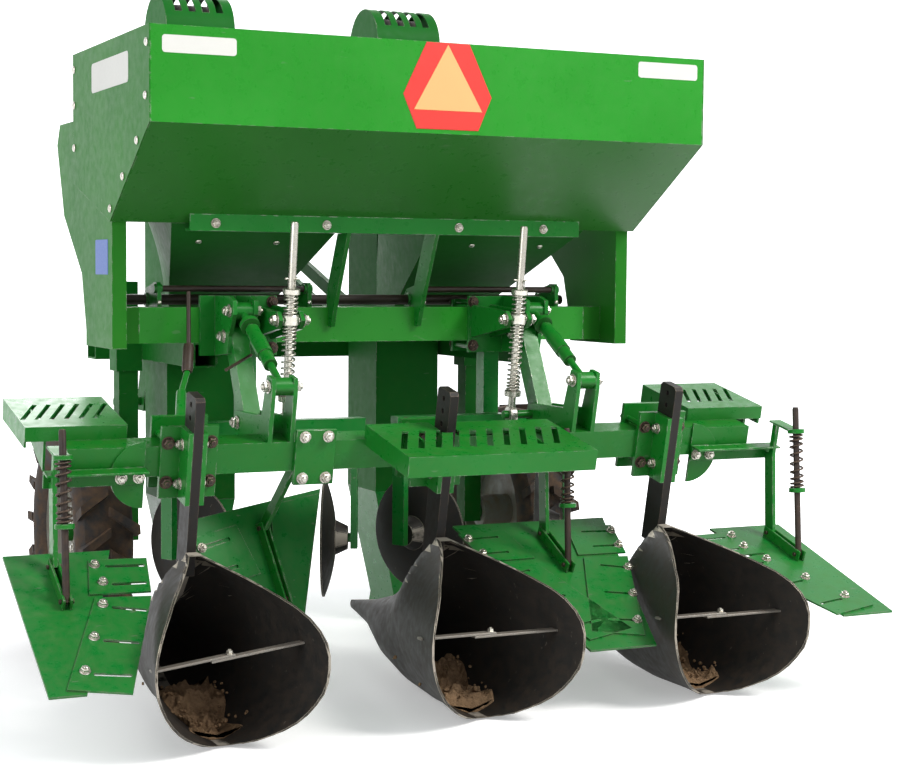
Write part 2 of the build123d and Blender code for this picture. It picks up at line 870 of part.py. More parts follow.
def make_ridgers():
    """Folded mouldboards of the ridging bodies, cut off behind along an arc."""
    for x, word in zip(ridger_xs, ("left", "centre", "right")):
        with BuildPart() as ridger:
            for shrink, mode in ((0, Mode.ADD), (ridger_wall, Mode.SUBTRACT)):
                faces = []
                for y, half, top, low in ridger_stations:
                    with BuildSketch(Plane.XZ.offset(-ridger_y - y + (shrink if y == rim_back else 0))) as lens:
                        with BuildLine():
                            tip = min(ridger_tip, half / 3)
                            middle = (top + low) / 2
                            up = top - shrink
                            down = low + shrink
                            ThreePointArc((x + tip, down), (x + half - shrink, middle), (x + tip, up))
                            Line((x + tip, up), (x - tip, up))
                            ThreePointArc((x - tip, up), (x - half + shrink, middle), (x - tip, down))
                            Line((x - tip, down), (x + tip, down))
                        make_face()
                    faces.append(lens.sketch)
                loft(faces[1:] if shrink else faces, ruled=True, mode=mode)
            with BuildSketch(Plane.YZ.offset(x - 2 * ridger_half)) as rim:
                with BuildLine():
                    ThreePointArc(
                        (ridger_y + rim_top, ridger_high),
                        (ridger_y + rim_back, ridger_high / 2),
                        (ridger_y + rim_low, 0),
                    )
                    Polyline(
                        (ridger_y + rim_low, 0),
                        (ridger_y + 2 * ridger_half, 0),
                        (ridger_y + 2 * ridger_half + 60, ridger_high),
                        (ridger_y + rim_top, ridger_high),
                    )
                make_face()
            extrude(rim.sketch, amount=4 * ridger_half, mode=Mode.INTERSECT)
            gap = shank_thick / 2 + seat_gap
            gang_block(
                (x - gap, -bar_size / 2 - shank_width - seat_gap, shank_low - seat_gap),
                (x + gap, -bar_size / 2 + seat_gap, shank_top),
                Mode.SUBTRACT,
            )
        save(ridger, f"ridger_{word}")


step_tables = (
    # name, left edge, right edge, back edge, front edge, slots, side of the support
    ("step_left", -1100, -840, 33, 298, 6),
    ("step_centre", -210, 336, -323, -28, 10),
    ("step_right", 840, 1100, 33, 298, 6),
)
step_lip = 55


def make_steps():
    """Slotted treads with folded lips, on brackets from the tool bar."""
    bar_half = bar_size / 2
    for name, left, right, back, front, slots in step_tables:
        with BuildPart() as step:
            gang_block((left, back, step_height - step_lip), (right, front, step_height))
            gang_block(
                (left + step_wall, back + step_wall, step_height - 2 * step_lip),
                (right - step_wall, front - step_wall, step_height - step_wall),
                Mode.SUBTRACT,
            )
            pitch = (right - left) / (slots + 1)
            for index in range(slots):
                spot = gang_point(left + (index + 1) * pitch, (back + front) / 2, step_height)
                slant = Plane(origin=spot, x_dir=gang.x_dir, z_dir=gang.z_dir).rotated((0, 0, -25))
                with BuildSketch(slant) as slot:
                    Rectangle(pitch / 3, 0.55 * (front - back))
                extrude(slot.sketch, amount=2 * step_wall, both=True, mode=Mode.SUBTRACT)
            for x in (left + 0.2 * (right - left), left + 0.8 * (right - left)):
                if back < 0:
                    points = [
                        (back + 60, step_height - step_wall),
                        (-bar_half, -bar_half / 2),
                        (-bar_half, step_height - step_wall),
                    ]
                else:
                    points = [
                        (bar_half, -bar_half),
                        (bar_half, step_height - step_wall),
                        (front - step_wall, step_height - step_wall),
                        (front - step_wall, step_height - step_lip),
                    ]
                gang_plate(x - step_wall / 2, x + step_wall / 2, points)
            near = sorted((-bar_half if back < 0 else bar_half, 0))
            gang_block(
                (left, near[0] if back < 0 else -bar_size, -bar_size),
                (right, bar_size if back < 0 else near[1], bar_half),
                Mode.SUBTRACT,
            )
            if back < 0:
                cheek = shank_thick / 2 + clamp_wall + 2 * seat_gap
                gang_block((-cheek, -bar_half - shank_width - 5, -bar_size), (cheek, front, bar_size), Mode.SUBTRACT)
                gang_block(
                    (-clamp_half - 5, -bar_half - 3 * clamp_wall, -bar_size),
                    (clamp_half + 5, front, step_height - step_wall),
                    Mode.SUBTRACT,
                )
        save(step, name)


def make_disc(row_x, side, name):
    """Dished disc with its hub, hollow towards the seed row."""
    x = row_x + side * disc_reach
    angle = radians(disc_angle)
    axis_dir = Vector(-side * cos(angle), sin(angle), 0)
    place = Plane(origin=(x, disc_y, disc_z), x_dir=(0, 0, 1), z_dir=axis_dir)
    profile = Plane(origin=place.origin, x_dir=place.x_dir, z_dir=place.x_dir.cross(axis_dir))
    flip = 1 if profile.y_dir.dot(axis_dir) > 0 else -1
    with BuildPart() as disc:
        with BuildSketch(profile) as section:
            with BuildLine():
                for depth in (0, disc_wall):
                    ThreePointArc(
                        (disc_pin + run_gap, flip * depth),
                        (disc_radius * 0.55, flip * (depth + 0.28 * disc_dish)),
                        (disc_radius, flip * (depth + disc_dish)),
                    )
                Line((disc_pin + run_gap, 0), (disc_pin + run_gap, flip * disc_wall))
                Line((disc_radius, flip * disc_dish), (disc_radius, flip * (disc_dish + disc_wall)))
            make_face()
            with BuildLine():
                Polyline(
                    (disc_pin + run_gap, flip * disc_wall),
                    (disc_pin + run_gap, -flip * 34),
                    (34, -flip * 34),
                    (50, 0),
                    (50, flip * disc_wall),
                    close=True,
                )
            make_face()
        revolve(axis=Axis(place.origin, axis_dir))
    save(disc, name)


disc_leg = 50
disc_root = 62


def make_disc_arms():
    """Legs under the beam with a cross tube, and the drop bars with their stub axles."""
    angle = radians(disc_angle)
    beam_low = beam_z - beam_size / 2
    cross_z = disc_z + 300
    cross_y = disc_y - disc_root * sin(angle)
    with BuildPart() as disc_arms:
        for outward, row_x in zip(sides, row_xs):
            leg_at = row_x + outward * 0.7 * disc_leg
            block((leg_at - disc_leg / 2, -beam_size / 2, cross_z), (leg_at + disc_leg / 2, 0, beam_low))
            block((leg_at - disc_leg / 2, cross_y, cross_z), (leg_at + disc_leg / 2, 0, cross_z + disc_leg))
            block(
                (row_x - disc_reach - 70, cross_y - disc_leg / 2, cross_z),
                (row_x + disc_reach + 70, cross_y + disc_leg / 2, cross_z + disc_leg),
            )
            for side in sides:
                axis_dir = Vector(-side * cos(angle), sin(angle), 0)
                centre = Vector(row_x + side * disc_reach, disc_y, disc_z)
                root = centre - axis_dir * disc_root
                with BuildSketch(Plane(origin=root, x_dir=(0, 0, 1), z_dir=axis_dir)) as drop:
                    with Locations((150, 0)):
                        Rectangle(360, 44)
                extrude(drop.sketch, amount=20, both=False)
                bar_between(root + axis_dir * 20, centre + axis_dir * disc_wall, disc_pin)
    save(disc_arms, "disc_arms")


boot_wall = 6
boot_low = 60
boot_half = 35
boot_back = 500
boot_front = 700


def make_furrow_openers():
    """Boots that carry on from the ducts and narrow to the furrow, each with its curved share."""
    with BuildPart() as furrow_openers:
        for row_x in row_xs:
            for shrink, mode in ((0, Mode.ADD), (boot_wall, Mode.SUBTRACT)):
                with BuildSketch(Plane.XY.offset(lift_low_z + shrink / 6 - seat_gap)) as upper:
                    with Locations((row_x, lift_y)):
                        Rectangle(lift_width - 2 * shrink, lift_depth - 2 * shrink)
                with BuildSketch(Plane.XY.offset(boot_low - shrink / 6)) as lower:
                    with Locations((row_x, (boot_back + boot_front) / 2)):
                        Rectangle(2 * boot_half - 2 * shrink, boot_front - boot_back - 2 * shrink)
                loft([upper.sketch, lower.sketch], mode=mode)
            with BuildSketch(Plane.YZ.offset(row_x - boot_wall)) as share:
                with BuildLine():
                    ThreePointArc(
                        (lift_y + lift_depth / 2, lift_low_z - 60),
                        (boot_front + 42, 0.5 * lift_low_z),
                        (boot_front + 90, 30),
                    )
                    Polyline(
                        (boot_front + 90, 30),
                        (boot_front - 60, 30),
                        (boot_front - 60, boot_low + 2),
                        (boot_front - 2, boot_low + 2),
                        (lift_y + lift_depth / 2 - 2, lift_low_z - 60),
                        (lift_y + lift_depth / 2, lift_low_z - 60),
                    )
                make_face()
            extrude(share.sketch, amount=2 * boot_wall)
    save(furrow_openers, "furrow_openers")


board_table = (
    # name, front edge's middle, front half width, rear middle's shift, rear half width, length, pitch, roll
    ("ridge_board_left_outer", (-1025, -442, 440), 135, -86, 49, 525, 27, 0),
    ("ridge_board_left_inner", (-410, -292, 510), 190, 0, 80, 500, 62, -10),
    ("ridge_board_right_inner", (350, -312, 432), 245, 0, 95, 602, 26, 0),
    ("ridge_board_right_outer", (1038, -442, 400), 122, 40, 82, 570, 17.5, 0),
)


def board_plane(front, pitch, roll):
    """Plane of a board: X across, local Y forward up the slope, origin at the front edge's middle."""
    slope = radians(pitch)
    lean = radians(roll)
    across = Vector(cos(lean), 0, -sin(lean))
    ahead = Vector(0, cos(slope), sin(slope))
    return Plane(origin=front, x_dir=across, z_dir=across.cross(ahead))


def make_ridge_boards():
    for name, front, front_half, shift, rear_half, length, pitch, roll in board_table:
        place = board_plane(front, pitch, roll)
        with BuildPart() as ridge_board:
            with BuildSketch(place) as face:
                with BuildLine():
                    Polyline(
                        (-front_half, 0),
                        (front_half, 0),
                        (shift + rear_half, -length),
                        (shift - rear_half, -length),
                        close=True,
                    )
                make_face()
            extrude(face.sketch, amount=board_wall)
        save(ridge_board, name)


hanger_table = (
    # board row, x of the post, x where it is held on the bar, foot share, rod share, rod head
    (0, -1050, -905, 0.09, 0.62, (-615, 772)),
    (1, -350, -350, 0.2, 0.55, (-560, 640)),
    (2, 386, 386, 0.12, 0.42, (-510, 735)),
    (3, 1050, 905, 0.09, 0.55, (-625, 760)),
)
post_half = 20
post_thick = 12
hanger_rod = 9


def make_board_hangers():
    """Brackets on the bar, posts to the boards' hinges, and the sprung rods behind them."""
    bar_half = bar_size / 2
    with BuildPart() as board_hangers:
        for row, x, held_x, foot_share, rod_share, rod_top in hanger_table:
            name, front, front_half, shift, rear_half, length, pitch, roll = board_table[row]
            place = board_plane(front, pitch, roll)
            local_x = x - front[0]
            seat = board_wall + seat_gap
            for share in (foot_share, rod_share):
                with BuildSketch(place.offset(seat)) as lug:
                    with Locations((local_x, -share * length)):
                        Rectangle(2.5 * post_thick, 2 * post_half)
                extrude(lug.sketch, amount=2 * post_thick)
            foot = place.from_local_coords(Vector(local_x, -foot_share * length, seat + 1.5 * post_thick))
            hook = place.from_local_coords(Vector(local_x, -rod_share * length, seat + 1.5 * post_thick))
            edges = sorted((held_x - 45, held_x + 45))
            gang_block((edges[0], -bar_half - post_thick, -60), (edges[1], -bar_half, bar_half))
            arm = sorted((held_x, x + (post_thick if x > 0 else -post_thick)))
            if held_x != x:
                gang_block((arm[0], -bar_half - post_thick - 50, -10), (arm[1], -bar_half - post_thick, -2))
                gang_block((arm[0], -bar_half - post_thick - 8, -60), (arm[1], -bar_half - post_thick, -2))
            else:
                gang_block((x - 30, -bar_half - post_thick - 50, -10), (x + 30, -bar_half - post_thick, -2))
            root = gang_point(x, -bar_half - post_thick - 24, -bar_half - 5)
            run = Vector(x, foot.Y, foot.Z) - root
            with BuildSketch(Plane(origin=root, x_dir=(1, 0, 0), z_dir=run)) as post:
                Rectangle(post_thick, 2 * post_half)
            extrude(post.sketch, amount=run.length)
            stepped_rod(
                (x, hook.Y, hook.Z + 6),
                (x, *rod_top),
                ((0, 1, hanger_rod), (0.42, 0.45, 22), (0.45, 0.75, 17), (0.75, 0.78, 22)),
            )
            cup_z = hook.Z + 6 + 0.79 * (rod_top[1] - hook.Z - 6)
            cup_y = hook.Y + 0.79 * (rod_top[0] - hook.Y)
            start = root + Vector(0, 0, 35)
            reach = Vector(x, cup_y, cup_z) - start
            with BuildSketch(Plane(origin=start, x_dir=(1, 0, 0), z_dir=reach)) as strap:
                Rectangle(3 * post_thick, 8)
            extrude(strap.sketch, amount=reach.length)
    save(board_hangers, "board_hangers")


os.makedirs("parts", exist_ok=True)
make_main_beam()
make_side_frames()
make_headstock()
for wheel_side, wheel_word in zip(sides, ("left", "right")):
    make_wheel(wheel_side, wheel_word)
make_wheel_arms()
make_hopper()
make_seed_funnels()
make_elevators()
make_cup_belts()
make_hopper_rail()
make_feed_shafts()
make_drive_covers()
make_link_brackets()
make_lower_arms()
make_turnbuckles()
make_link_uprights()
make_pressure_rods()
make_tool_bar()
make_shank_clamps()
make_ridger_shanks()
make_ridgers()
make_steps()
for disc_row_x, disc_word in zip(row_xs, ("left", "right")):
    for disc_side, disc_place in zip(sides, ("low_x", "high_x")):
        make_disc(disc_row_x, disc_side, f"disc_{disc_word}_{disc_place}")
make_disc_arms()
make_furrow_openers()
make_ridge_boards()
make_board_hangers()
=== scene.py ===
# %% [markdown]
# # A mounted two-row potato planter, dressed on its solid model
# The solid model gives every main shape of the planter in metres, in its real place.
# This lesson adds what a solid model leaves plain: worn paint, soil, springs, bolts,
# the sign on the hopper and the light. It could all be painted on afterwards, but pieces
# worked out from numbers stay true to size and turn with the wheels and discs.

import json
import math
from itertools import product

import bpy
import numpy as np
from mathutils import Matrix, Vector
from mathutils.geometry import delaunay_2d_cdt

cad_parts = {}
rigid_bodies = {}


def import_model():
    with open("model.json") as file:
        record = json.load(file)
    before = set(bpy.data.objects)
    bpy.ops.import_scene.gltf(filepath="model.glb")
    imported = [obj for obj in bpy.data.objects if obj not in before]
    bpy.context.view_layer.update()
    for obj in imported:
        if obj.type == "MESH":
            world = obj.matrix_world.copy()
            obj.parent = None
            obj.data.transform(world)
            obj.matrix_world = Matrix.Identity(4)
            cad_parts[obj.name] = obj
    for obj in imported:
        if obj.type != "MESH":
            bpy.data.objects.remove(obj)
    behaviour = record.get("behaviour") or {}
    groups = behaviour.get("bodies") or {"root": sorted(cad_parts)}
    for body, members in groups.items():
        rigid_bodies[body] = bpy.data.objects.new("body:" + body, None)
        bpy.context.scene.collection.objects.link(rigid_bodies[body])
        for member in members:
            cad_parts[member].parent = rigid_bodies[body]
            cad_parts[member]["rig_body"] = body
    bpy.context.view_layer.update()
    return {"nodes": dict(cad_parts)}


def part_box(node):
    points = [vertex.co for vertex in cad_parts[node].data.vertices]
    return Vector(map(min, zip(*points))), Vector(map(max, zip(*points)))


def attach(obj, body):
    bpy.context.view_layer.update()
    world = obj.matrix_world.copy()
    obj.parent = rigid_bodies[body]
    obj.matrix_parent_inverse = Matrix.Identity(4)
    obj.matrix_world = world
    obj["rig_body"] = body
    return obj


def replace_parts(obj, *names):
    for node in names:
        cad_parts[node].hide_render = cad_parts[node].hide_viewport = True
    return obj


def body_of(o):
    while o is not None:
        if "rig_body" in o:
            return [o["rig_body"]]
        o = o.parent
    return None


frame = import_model()

# %% [markdown]
# ## Surfaces from arrays
# Every added piece is a grid of points: one parameter runs round, the other along.
# Modelling by hand in edit mode would give the same mesh, but a formula can be read,
# checked and run again. The helpers below number the corners of such a grid, turn the
# faces outwards by the sign of the enclosed volume and write the arrays into a mesh.

# %% Grid corners and outward faces
def grid_faces(rows, columns, wrap_rows=False, wrap_columns=False):
    """Corners of each cell of a grid: point number = row * columns + column, with wrap-round."""
    row = np.arange(rows if wrap_rows else rows - 1)
    column = np.arange(columns if wrap_columns else columns - 1)
    row, column = np.meshgrid(row, column, indexing="ij")
    next_row = (row + 1) % rows
    next_column = (column + 1) % columns
    cells = (row * columns + column, row * columns + next_column,
             next_row * columns + next_column, next_row * columns + column)
    return np.stack(cells, -1).reshape(-1, 4)


def outward(points, faces):
    """Faces in the order whose volume, a sixth of the sum of triple products, is positive."""
    volume = 0.0
    for a, b, c in ((0, 1, 2), (0, 2, 3)):
        p, q, r = points[faces[:, a]], points[faces[:, b]], points[faces[:, c]]
        volume += np.einsum("ij,ij->", p, np.cross(q, r)) / 6
    return faces if volume > 0 else faces[:, ::-1]


def skinned(grid):
    """Points and outward faces of a grid (ring, round, xyz) that closes round each ring."""
    points = grid.reshape(-1, 3)
    return points, outward(points, grid_faces(*grid.shape[:2], wrap_columns=True))


def joined(shapes):
    """One pair of arrays from several: each shape's corner numbers grow by the points before it."""
    start = np.cumsum([0] + [len(points) for points, faces in shapes[:-1]])
    points = np.concatenate([points for points, faces in shapes])
    faces = np.concatenate([faces + first for (at, faces), first in zip(shapes, start)])
    return points, faces


def linked(name, data):
    """New object of some data, linked to the scene."""
    thing = bpy.data.objects.new(name, data)
    bpy.context.scene.collection.objects.link(thing)
    return thing


def piece(name, shape, material, body="frame", smooth=None):
    """Object at the origin from (points, faces); smooth is the angle in degrees that stays sharp."""
    points, faces = shape
    mesh = bpy.data.meshes.new(name)
    mesh.from_pydata(points.tolist(), [], [tuple(dict.fromkeys(f)) for f in faces.tolist()])
    mesh.validate()
    mesh.materials.append(material)
    thing = linked(name, mesh)
    if smooth:
        mesh.polygons.foreach_set("use_smooth", np.ones(len(mesh.polygons), dtype=bool))
        mesh.set_sharp_from_angle(angle=math.radians(smooth))
    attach(thing, body)
    print(name, len(mesh.vertices), "points", len(mesh.polygons), "faces")
    return thing


# %% [markdown]
# ## Turned, bent and flat shapes
# Bolts, washers and cups are turned on a lathe, so each is a profile of radius and height
# carried round an axis. A spring is a small circle carried along a winding path. Signs and
# plates are an outline with a thickness and a softened rim, and a bar is a bevelled box.

# %% Lathe, tube, plate and bar
def basis(axis):
    """Two unit vectors square to the axis and to each other."""
    axis = np.asarray(axis, float) / np.linalg.norm(axis)
    helper = np.array([1.0, 0, 0]) if abs(axis[0]) < 0.9 else np.array([0, 1.0, 0])
    across = np.cross(axis, helper)
    across /= np.linalg.norm(across)
    return axis, across, np.cross(axis, across)


def lathe(profile, centre, axis, sides=24):
    """Point = centre + height * axis + radius * (cos t * across + sin t * up), closed at both ends."""
    axis, across, up = basis(axis)
    radius, height = np.asarray(profile, float).T
    turn = np.linspace(0, 2 * np.pi, sides, endpoint=False)
    ring = np.cos(turn)[:, None] * across + np.sin(turn)[:, None] * up
    return skinned(np.asarray(centre) + height[:, None, None] * axis + radius[:, None, None] * ring)


def tube(path, radius, sides=8):
    """Circle of the given radius carried along the path, square to it, its ends drawn to a point."""
    path = np.asarray(path, float)
    along = np.gradient(path, axis=0)
    along /= np.linalg.norm(along, axis=1)[:, None]
    helper = np.array([0.31, 0.17, 0.93])
    across = np.cross(along, helper)
    across /= np.linalg.norm(across, axis=1)[:, None]
    up = np.cross(along, across)
    turn = np.linspace(0, 2 * np.pi, sides, endpoint=False)
    size = np.full(len(path), float(radius))
    size[[0, -1]] = radius * 0.02
    ring = across[:, None] * np.cos(turn)[:, None] + up[:, None] * np.sin(turn)[:, None]
    return skinned(path[:, None] + ring * size[:, None, None])


def coil_path(low, high, radius, turns, per_turn=20, closed=0.6):
    """Helix: height grows with the turn, slower near both ends, where a spring's turns touch."""
    low, high = np.asarray(low, float), np.asarray(high, float)
    axis, across, up = basis(high - low)
    share = np.linspace(0, 1, int(turns * per_turn) + 1)
    height = share - closed * np.sin(2 * np.pi * share) / (2 * np.pi)
    turn = share * turns * 2 * np.pi
    return (low + height[:, None] * (high - low)
            + radius * (np.cos(turn)[:, None] * across + np.sin(turn)[:, None] * up))


def carried(points, place):
    """Points of a flat shape carried to a place by its matrix."""
    return points @ np.array(place.to_3x3()).T + np.array(place.translation)


def plate(outline, thickness, place, rim=0.0015):
    """Flat outline raised by the thickness, its upper rim drawn in by the rim width."""
    outline = np.asarray(outline, float)
    middle = outline.mean(0)
    inset = outline + (middle - outline) / np.linalg.norm(middle - outline, axis=1)[:, None] * rim
    levels = ((middle[None].repeat(len(outline), 0), 0), (outline, 0), (outline, thickness - rim),
              (inset, thickness), (middle[None].repeat(len(outline), 0), thickness))
    flat = np.array([np.column_stack([line, np.full(len(line), height)]) for line, height in levels])
    return skinned(carried(flat.reshape(-1, 3), place).reshape(flat.shape))


def turned(start, end, stations, sides=24):
    """Rod on the line from start to end; each station is a (share of the length, radius)."""
    start, end = np.asarray(start, float), np.asarray(end, float)
    length = np.linalg.norm(end - start)
    profile = [(0, stations[0][0] * length)]
    profile += [(radius, share * length) for share, radius in stations]
    profile += [(0, stations[-1][0] * length)]
    return lathe(profile, start, end - start, sides)


def rod(start, end, radius, sides=24):
    """Plain round bar."""
    return turned(start, end, [(0, radius), (1, radius)], sides)


def collar(start, end, radius, drop, share, sides=24):
    """Round bar whose ends are turned down by the drop over a share of its length."""
    stations = [(0, radius - drop), (share, radius), (1 - share, radius), (1, radius - drop)]
    return turned(start, end, stations, sides)


def between(low, high, start, end):
    """The stretch of the line from low to high between two shares of its length."""
    low, high = np.asarray(low, float), np.asarray(high, float)
    return low + (high - low) * start, low + (high - low) * end


def flat_bar(start, end, half_across, half_up, across, bevel=0.0012):
    """Bar along a line: eight corners round each ring, both ends drawn in by the bevel."""
    start, end = np.asarray(start, float), np.asarray(end, float)
    along = (end - start) / np.linalg.norm(end - start)
    across = np.asarray(across, float) - along * np.dot(across, along)
    across /= np.linalg.norm(across)
    up = np.cross(along, across)
    a, b, c = half_across, half_up, bevel
    ring = np.array([(a, b - c), (a - c, b), (c - a, b), (-a, b - c),
                     (-a, c - b), (c - a, -b), (a - c, -b), (a, c - b)])
    full = np.ones(2)
    drawn = 1 - c / np.array([a, b])
    rings = ((start, 0 * full), (start, drawn), (start + along * c, full),
             (end - along * c, full), (end, drawn), (end, 0 * full))
    return skinned(np.array([at + (ring * size) @ np.array([across, up]) for at, size in rings]))


def set_at(across, up, out, at):
    """Matrix whose columns are three directions and a place."""
    return Matrix([(across[k], up[k], out[k], at[k]) for k in range(3)] + [(0, 0, 0, 1)])


def inside(loop, places):
    """Even-odd test: inside when a ray to the right crosses the loop an odd number of times."""
    start, end = loop[None], np.roll(loop, -1, 0)[None]
    x, y = places[:, None, 0], places[:, None, 1]
    spans = (start[..., 1] > y) != (end[..., 1] > y)
    rise = np.where(spans, end[..., 1] - start[..., 1], 1)
    crossing = start[..., 0] + (y - start[..., 1]) * (end[..., 0] - start[..., 0]) / rise
    return (spans & (x < crossing)).sum(1) % 2 == 1


def slotted_plate(outline, slots, thickness, place):
    """Flat plate with holes: a triangulation gives both faces, edges of one cell give the walls."""
    loops = [np.asarray(loop, float) for loop in (outline, *slots)]
    first = np.cumsum([0] + [len(loop) for loop in loops])
    edges = [(start + i, start + (i + 1) % len(loop))
             for loop, start in zip(loops, first) for i in range(len(loop))]
    found = delaunay_2d_cdt([Vector(c) for c in np.concatenate(loops)], edges, [], 0, 1e-7)
    flat, cells = np.array([tuple(c) for c in found[0]]), np.array(found[2])
    middles = flat[cells].mean(1)
    kept = inside(loops[0], middles)
    for loop in loops[1:]:
        kept &= ~inside(loop, middles)
    cells = cells[kept]
    count = len(flat)
    points = np.concatenate([np.column_stack([flat, np.full(count, z)]) for z in (0, thickness)])
    one, two, three = (points[cells[:, k]] for k in range(3))
    cells = np.where(np.cross(two - one, three - one)[:, 2:] > 0, cells, cells[:, ::-1])
    sides = np.concatenate([cells[:, [0, 1]], cells[:, [1, 2]], cells[:, [2, 0]]])
    shared = np.isin(sides @ np.array([count, 1]), sides @ np.array([1, count]))
    rim = sides[~shared]
    rim = rim[np.lexsort((rim[:, 1], rim[:, 0]))]
    walls = np.column_stack([rim, rim[:, ::-1] + count])
    lower = np.column_stack([cells[:, ::-1], cells[:, 0]])
    upper = np.column_stack([cells, cells[:, 2]]) + count
    return carried(points, place), np.concatenate([lower, upper, walls])


def slot_loop(inner, outer, width, per_end=5):
    """Outline of a slot: half circles about its two ends."""
    inner, outer = np.asarray(inner, float), np.asarray(outer, float)
    way = (outer - inner) / np.linalg.norm(outer - inner)
    side = np.array([-way[1], way[0]])
    turn = np.linspace(-np.pi / 2, np.pi / 2, per_end)[:, None]
    far = outer + width / 2 * (np.cos(turn) * way + np.sin(turn) * side)
    near = inner - width / 2 * (np.cos(turn) * way + np.sin(turn) * side)
    return np.concatenate([far, near])


def stamp(shape, places):
    """Copies whose local z turns to each axis: point = place + x*across + y*up + z*axis."""
    points, faces = shape
    copies = []
    for at, axis in places:
        axis, across, up = basis(axis)
        copies.append((points @ np.array([across, up, axis]) + np.asarray(at, float), faces))
    return joined(copies)


def rounded_rectangle(width, height, radius, per_corner=6):
    """Outline of a rectangle: each corner is a quarter circle about a point inset by the radius."""
    turn = np.linspace(0, np.pi / 2, per_corner)
    corners = []
    for quarter, (sx, sy) in enumerate(((1, 1), (-1, 1), (-1, -1), (1, -1))):
        centre = np.array([sx * (width / 2 - radius), sy * (height / 2 - radius)])
        angle = turn + quarter * np.pi / 2
        corners.append(centre + radius * np.column_stack([np.cos(angle), np.sin(angle)]))
    return np.concatenate(corners)


# %% [markdown]
# ## One weathering effect for all the finishes
# Real farm paint fades in patches, chips off at edges, and gathers soil where it faces up
# or sits low. Painting masks by hand for forty pieces would take a day, so one shader group
# works them out: edges come from comparing the true and a rounded normal, soil from the way
# a face looks and its height, patches and scratches from noise in the object's own space.
# Faces that turn downwards also take painted shade, a dark olive, by an amount of their own.

# %% The weathering group
def new_group(name, inputs, outputs):
    """Shader node group with named sockets: (name, type, default) in, (name, type) out."""
    group = bpy.data.node_groups.new(name, "ShaderNodeTree")
    for title, kind, value in inputs:
        socket = group.interface.new_socket(title, in_out="INPUT", socket_type=kind)
        socket.default_value = value
    for title, kind in outputs:
        group.interface.new_socket(title, in_out="OUTPUT", socket_type=kind)
    return group


def adder(tree):
    """Function that adds a node, sets its values and links its inputs by name or number."""
    def add(kind, links=(), **values):
        node = tree.nodes.new(kind)
        for key, value in values.items():
            setattr(node, key, value)
        for socket, source in links:
            if hasattr(source, "links"):
                tree.links.new(source, node.inputs[socket])
            else:
                node.inputs[socket].default_value = source
        return node
    return add


def maths(add, kind, *values, clamp=False):
    """One sum on sockets or numbers."""
    return add("ShaderNodeMath", list(enumerate(values)), operation=kind, use_clamp=clamp).outputs[0]


def span(add, value, low, high, to_low=0.0, to_high=1.0):
    """Stretch low..high to another range and hold the value inside it."""
    links = [("Value", value), ("From Min", low), ("From Max", high),
             ("To Min", to_low), ("To Max", to_high)]
    return add("ShaderNodeMapRange", links).outputs[0]


def mixed(add, factor, first, second):
    """Colour between the first and the second, by the factor."""
    links = [("Factor", factor), (6, first), (7, second)]
    return add("ShaderNodeMix", links, data_type="RGBA").outputs[2]


def noise(add, space, scale, detail, **more):
    """Noise in the object's own space; more names the node's other sockets."""
    links = [("Vector", space), ("Scale", scale), ("Detail", detail), *more.items()]
    return add("ShaderNodeTexNoise", links).outputs["Fac"]


FLOAT, COLOUR = "NodeSocketFloat", "NodeSocketColor"
# painted shade: the dark olive that faces turned downwards take, for the shade under the hopper
PAINTED_UNDERSIDE_SHADE = (0.022, 0.05, 0.016, 1)
weather = new_group(
    "weathering",
    (("Paint", COLOUR, (0.1, 0.3, 0.1, 1)), ("Faded", COLOUR, (0.1, 0.3, 0.1, 1)),
     ("Bare", COLOUR, (0.3, 0.3, 0.3, 1)), ("Soil", COLOUR, (0.16, 0.1, 0.055, 1)),
     ("Chips", FLOAT, 0.4), ("Scratches", FLOAT, 0.2), ("Dust", FLOAT, 0.3),
     ("Gloss", FLOAT, 0.3), ("Grain", FLOAT, 40.0), ("Bare metal", FLOAT, 0.8), ("Painted shade below", FLOAT, 0.0)),
    (("Colour", COLOUR), ("Roughness", FLOAT), ("Metallic", FLOAT), ("Height", FLOAT)),
)


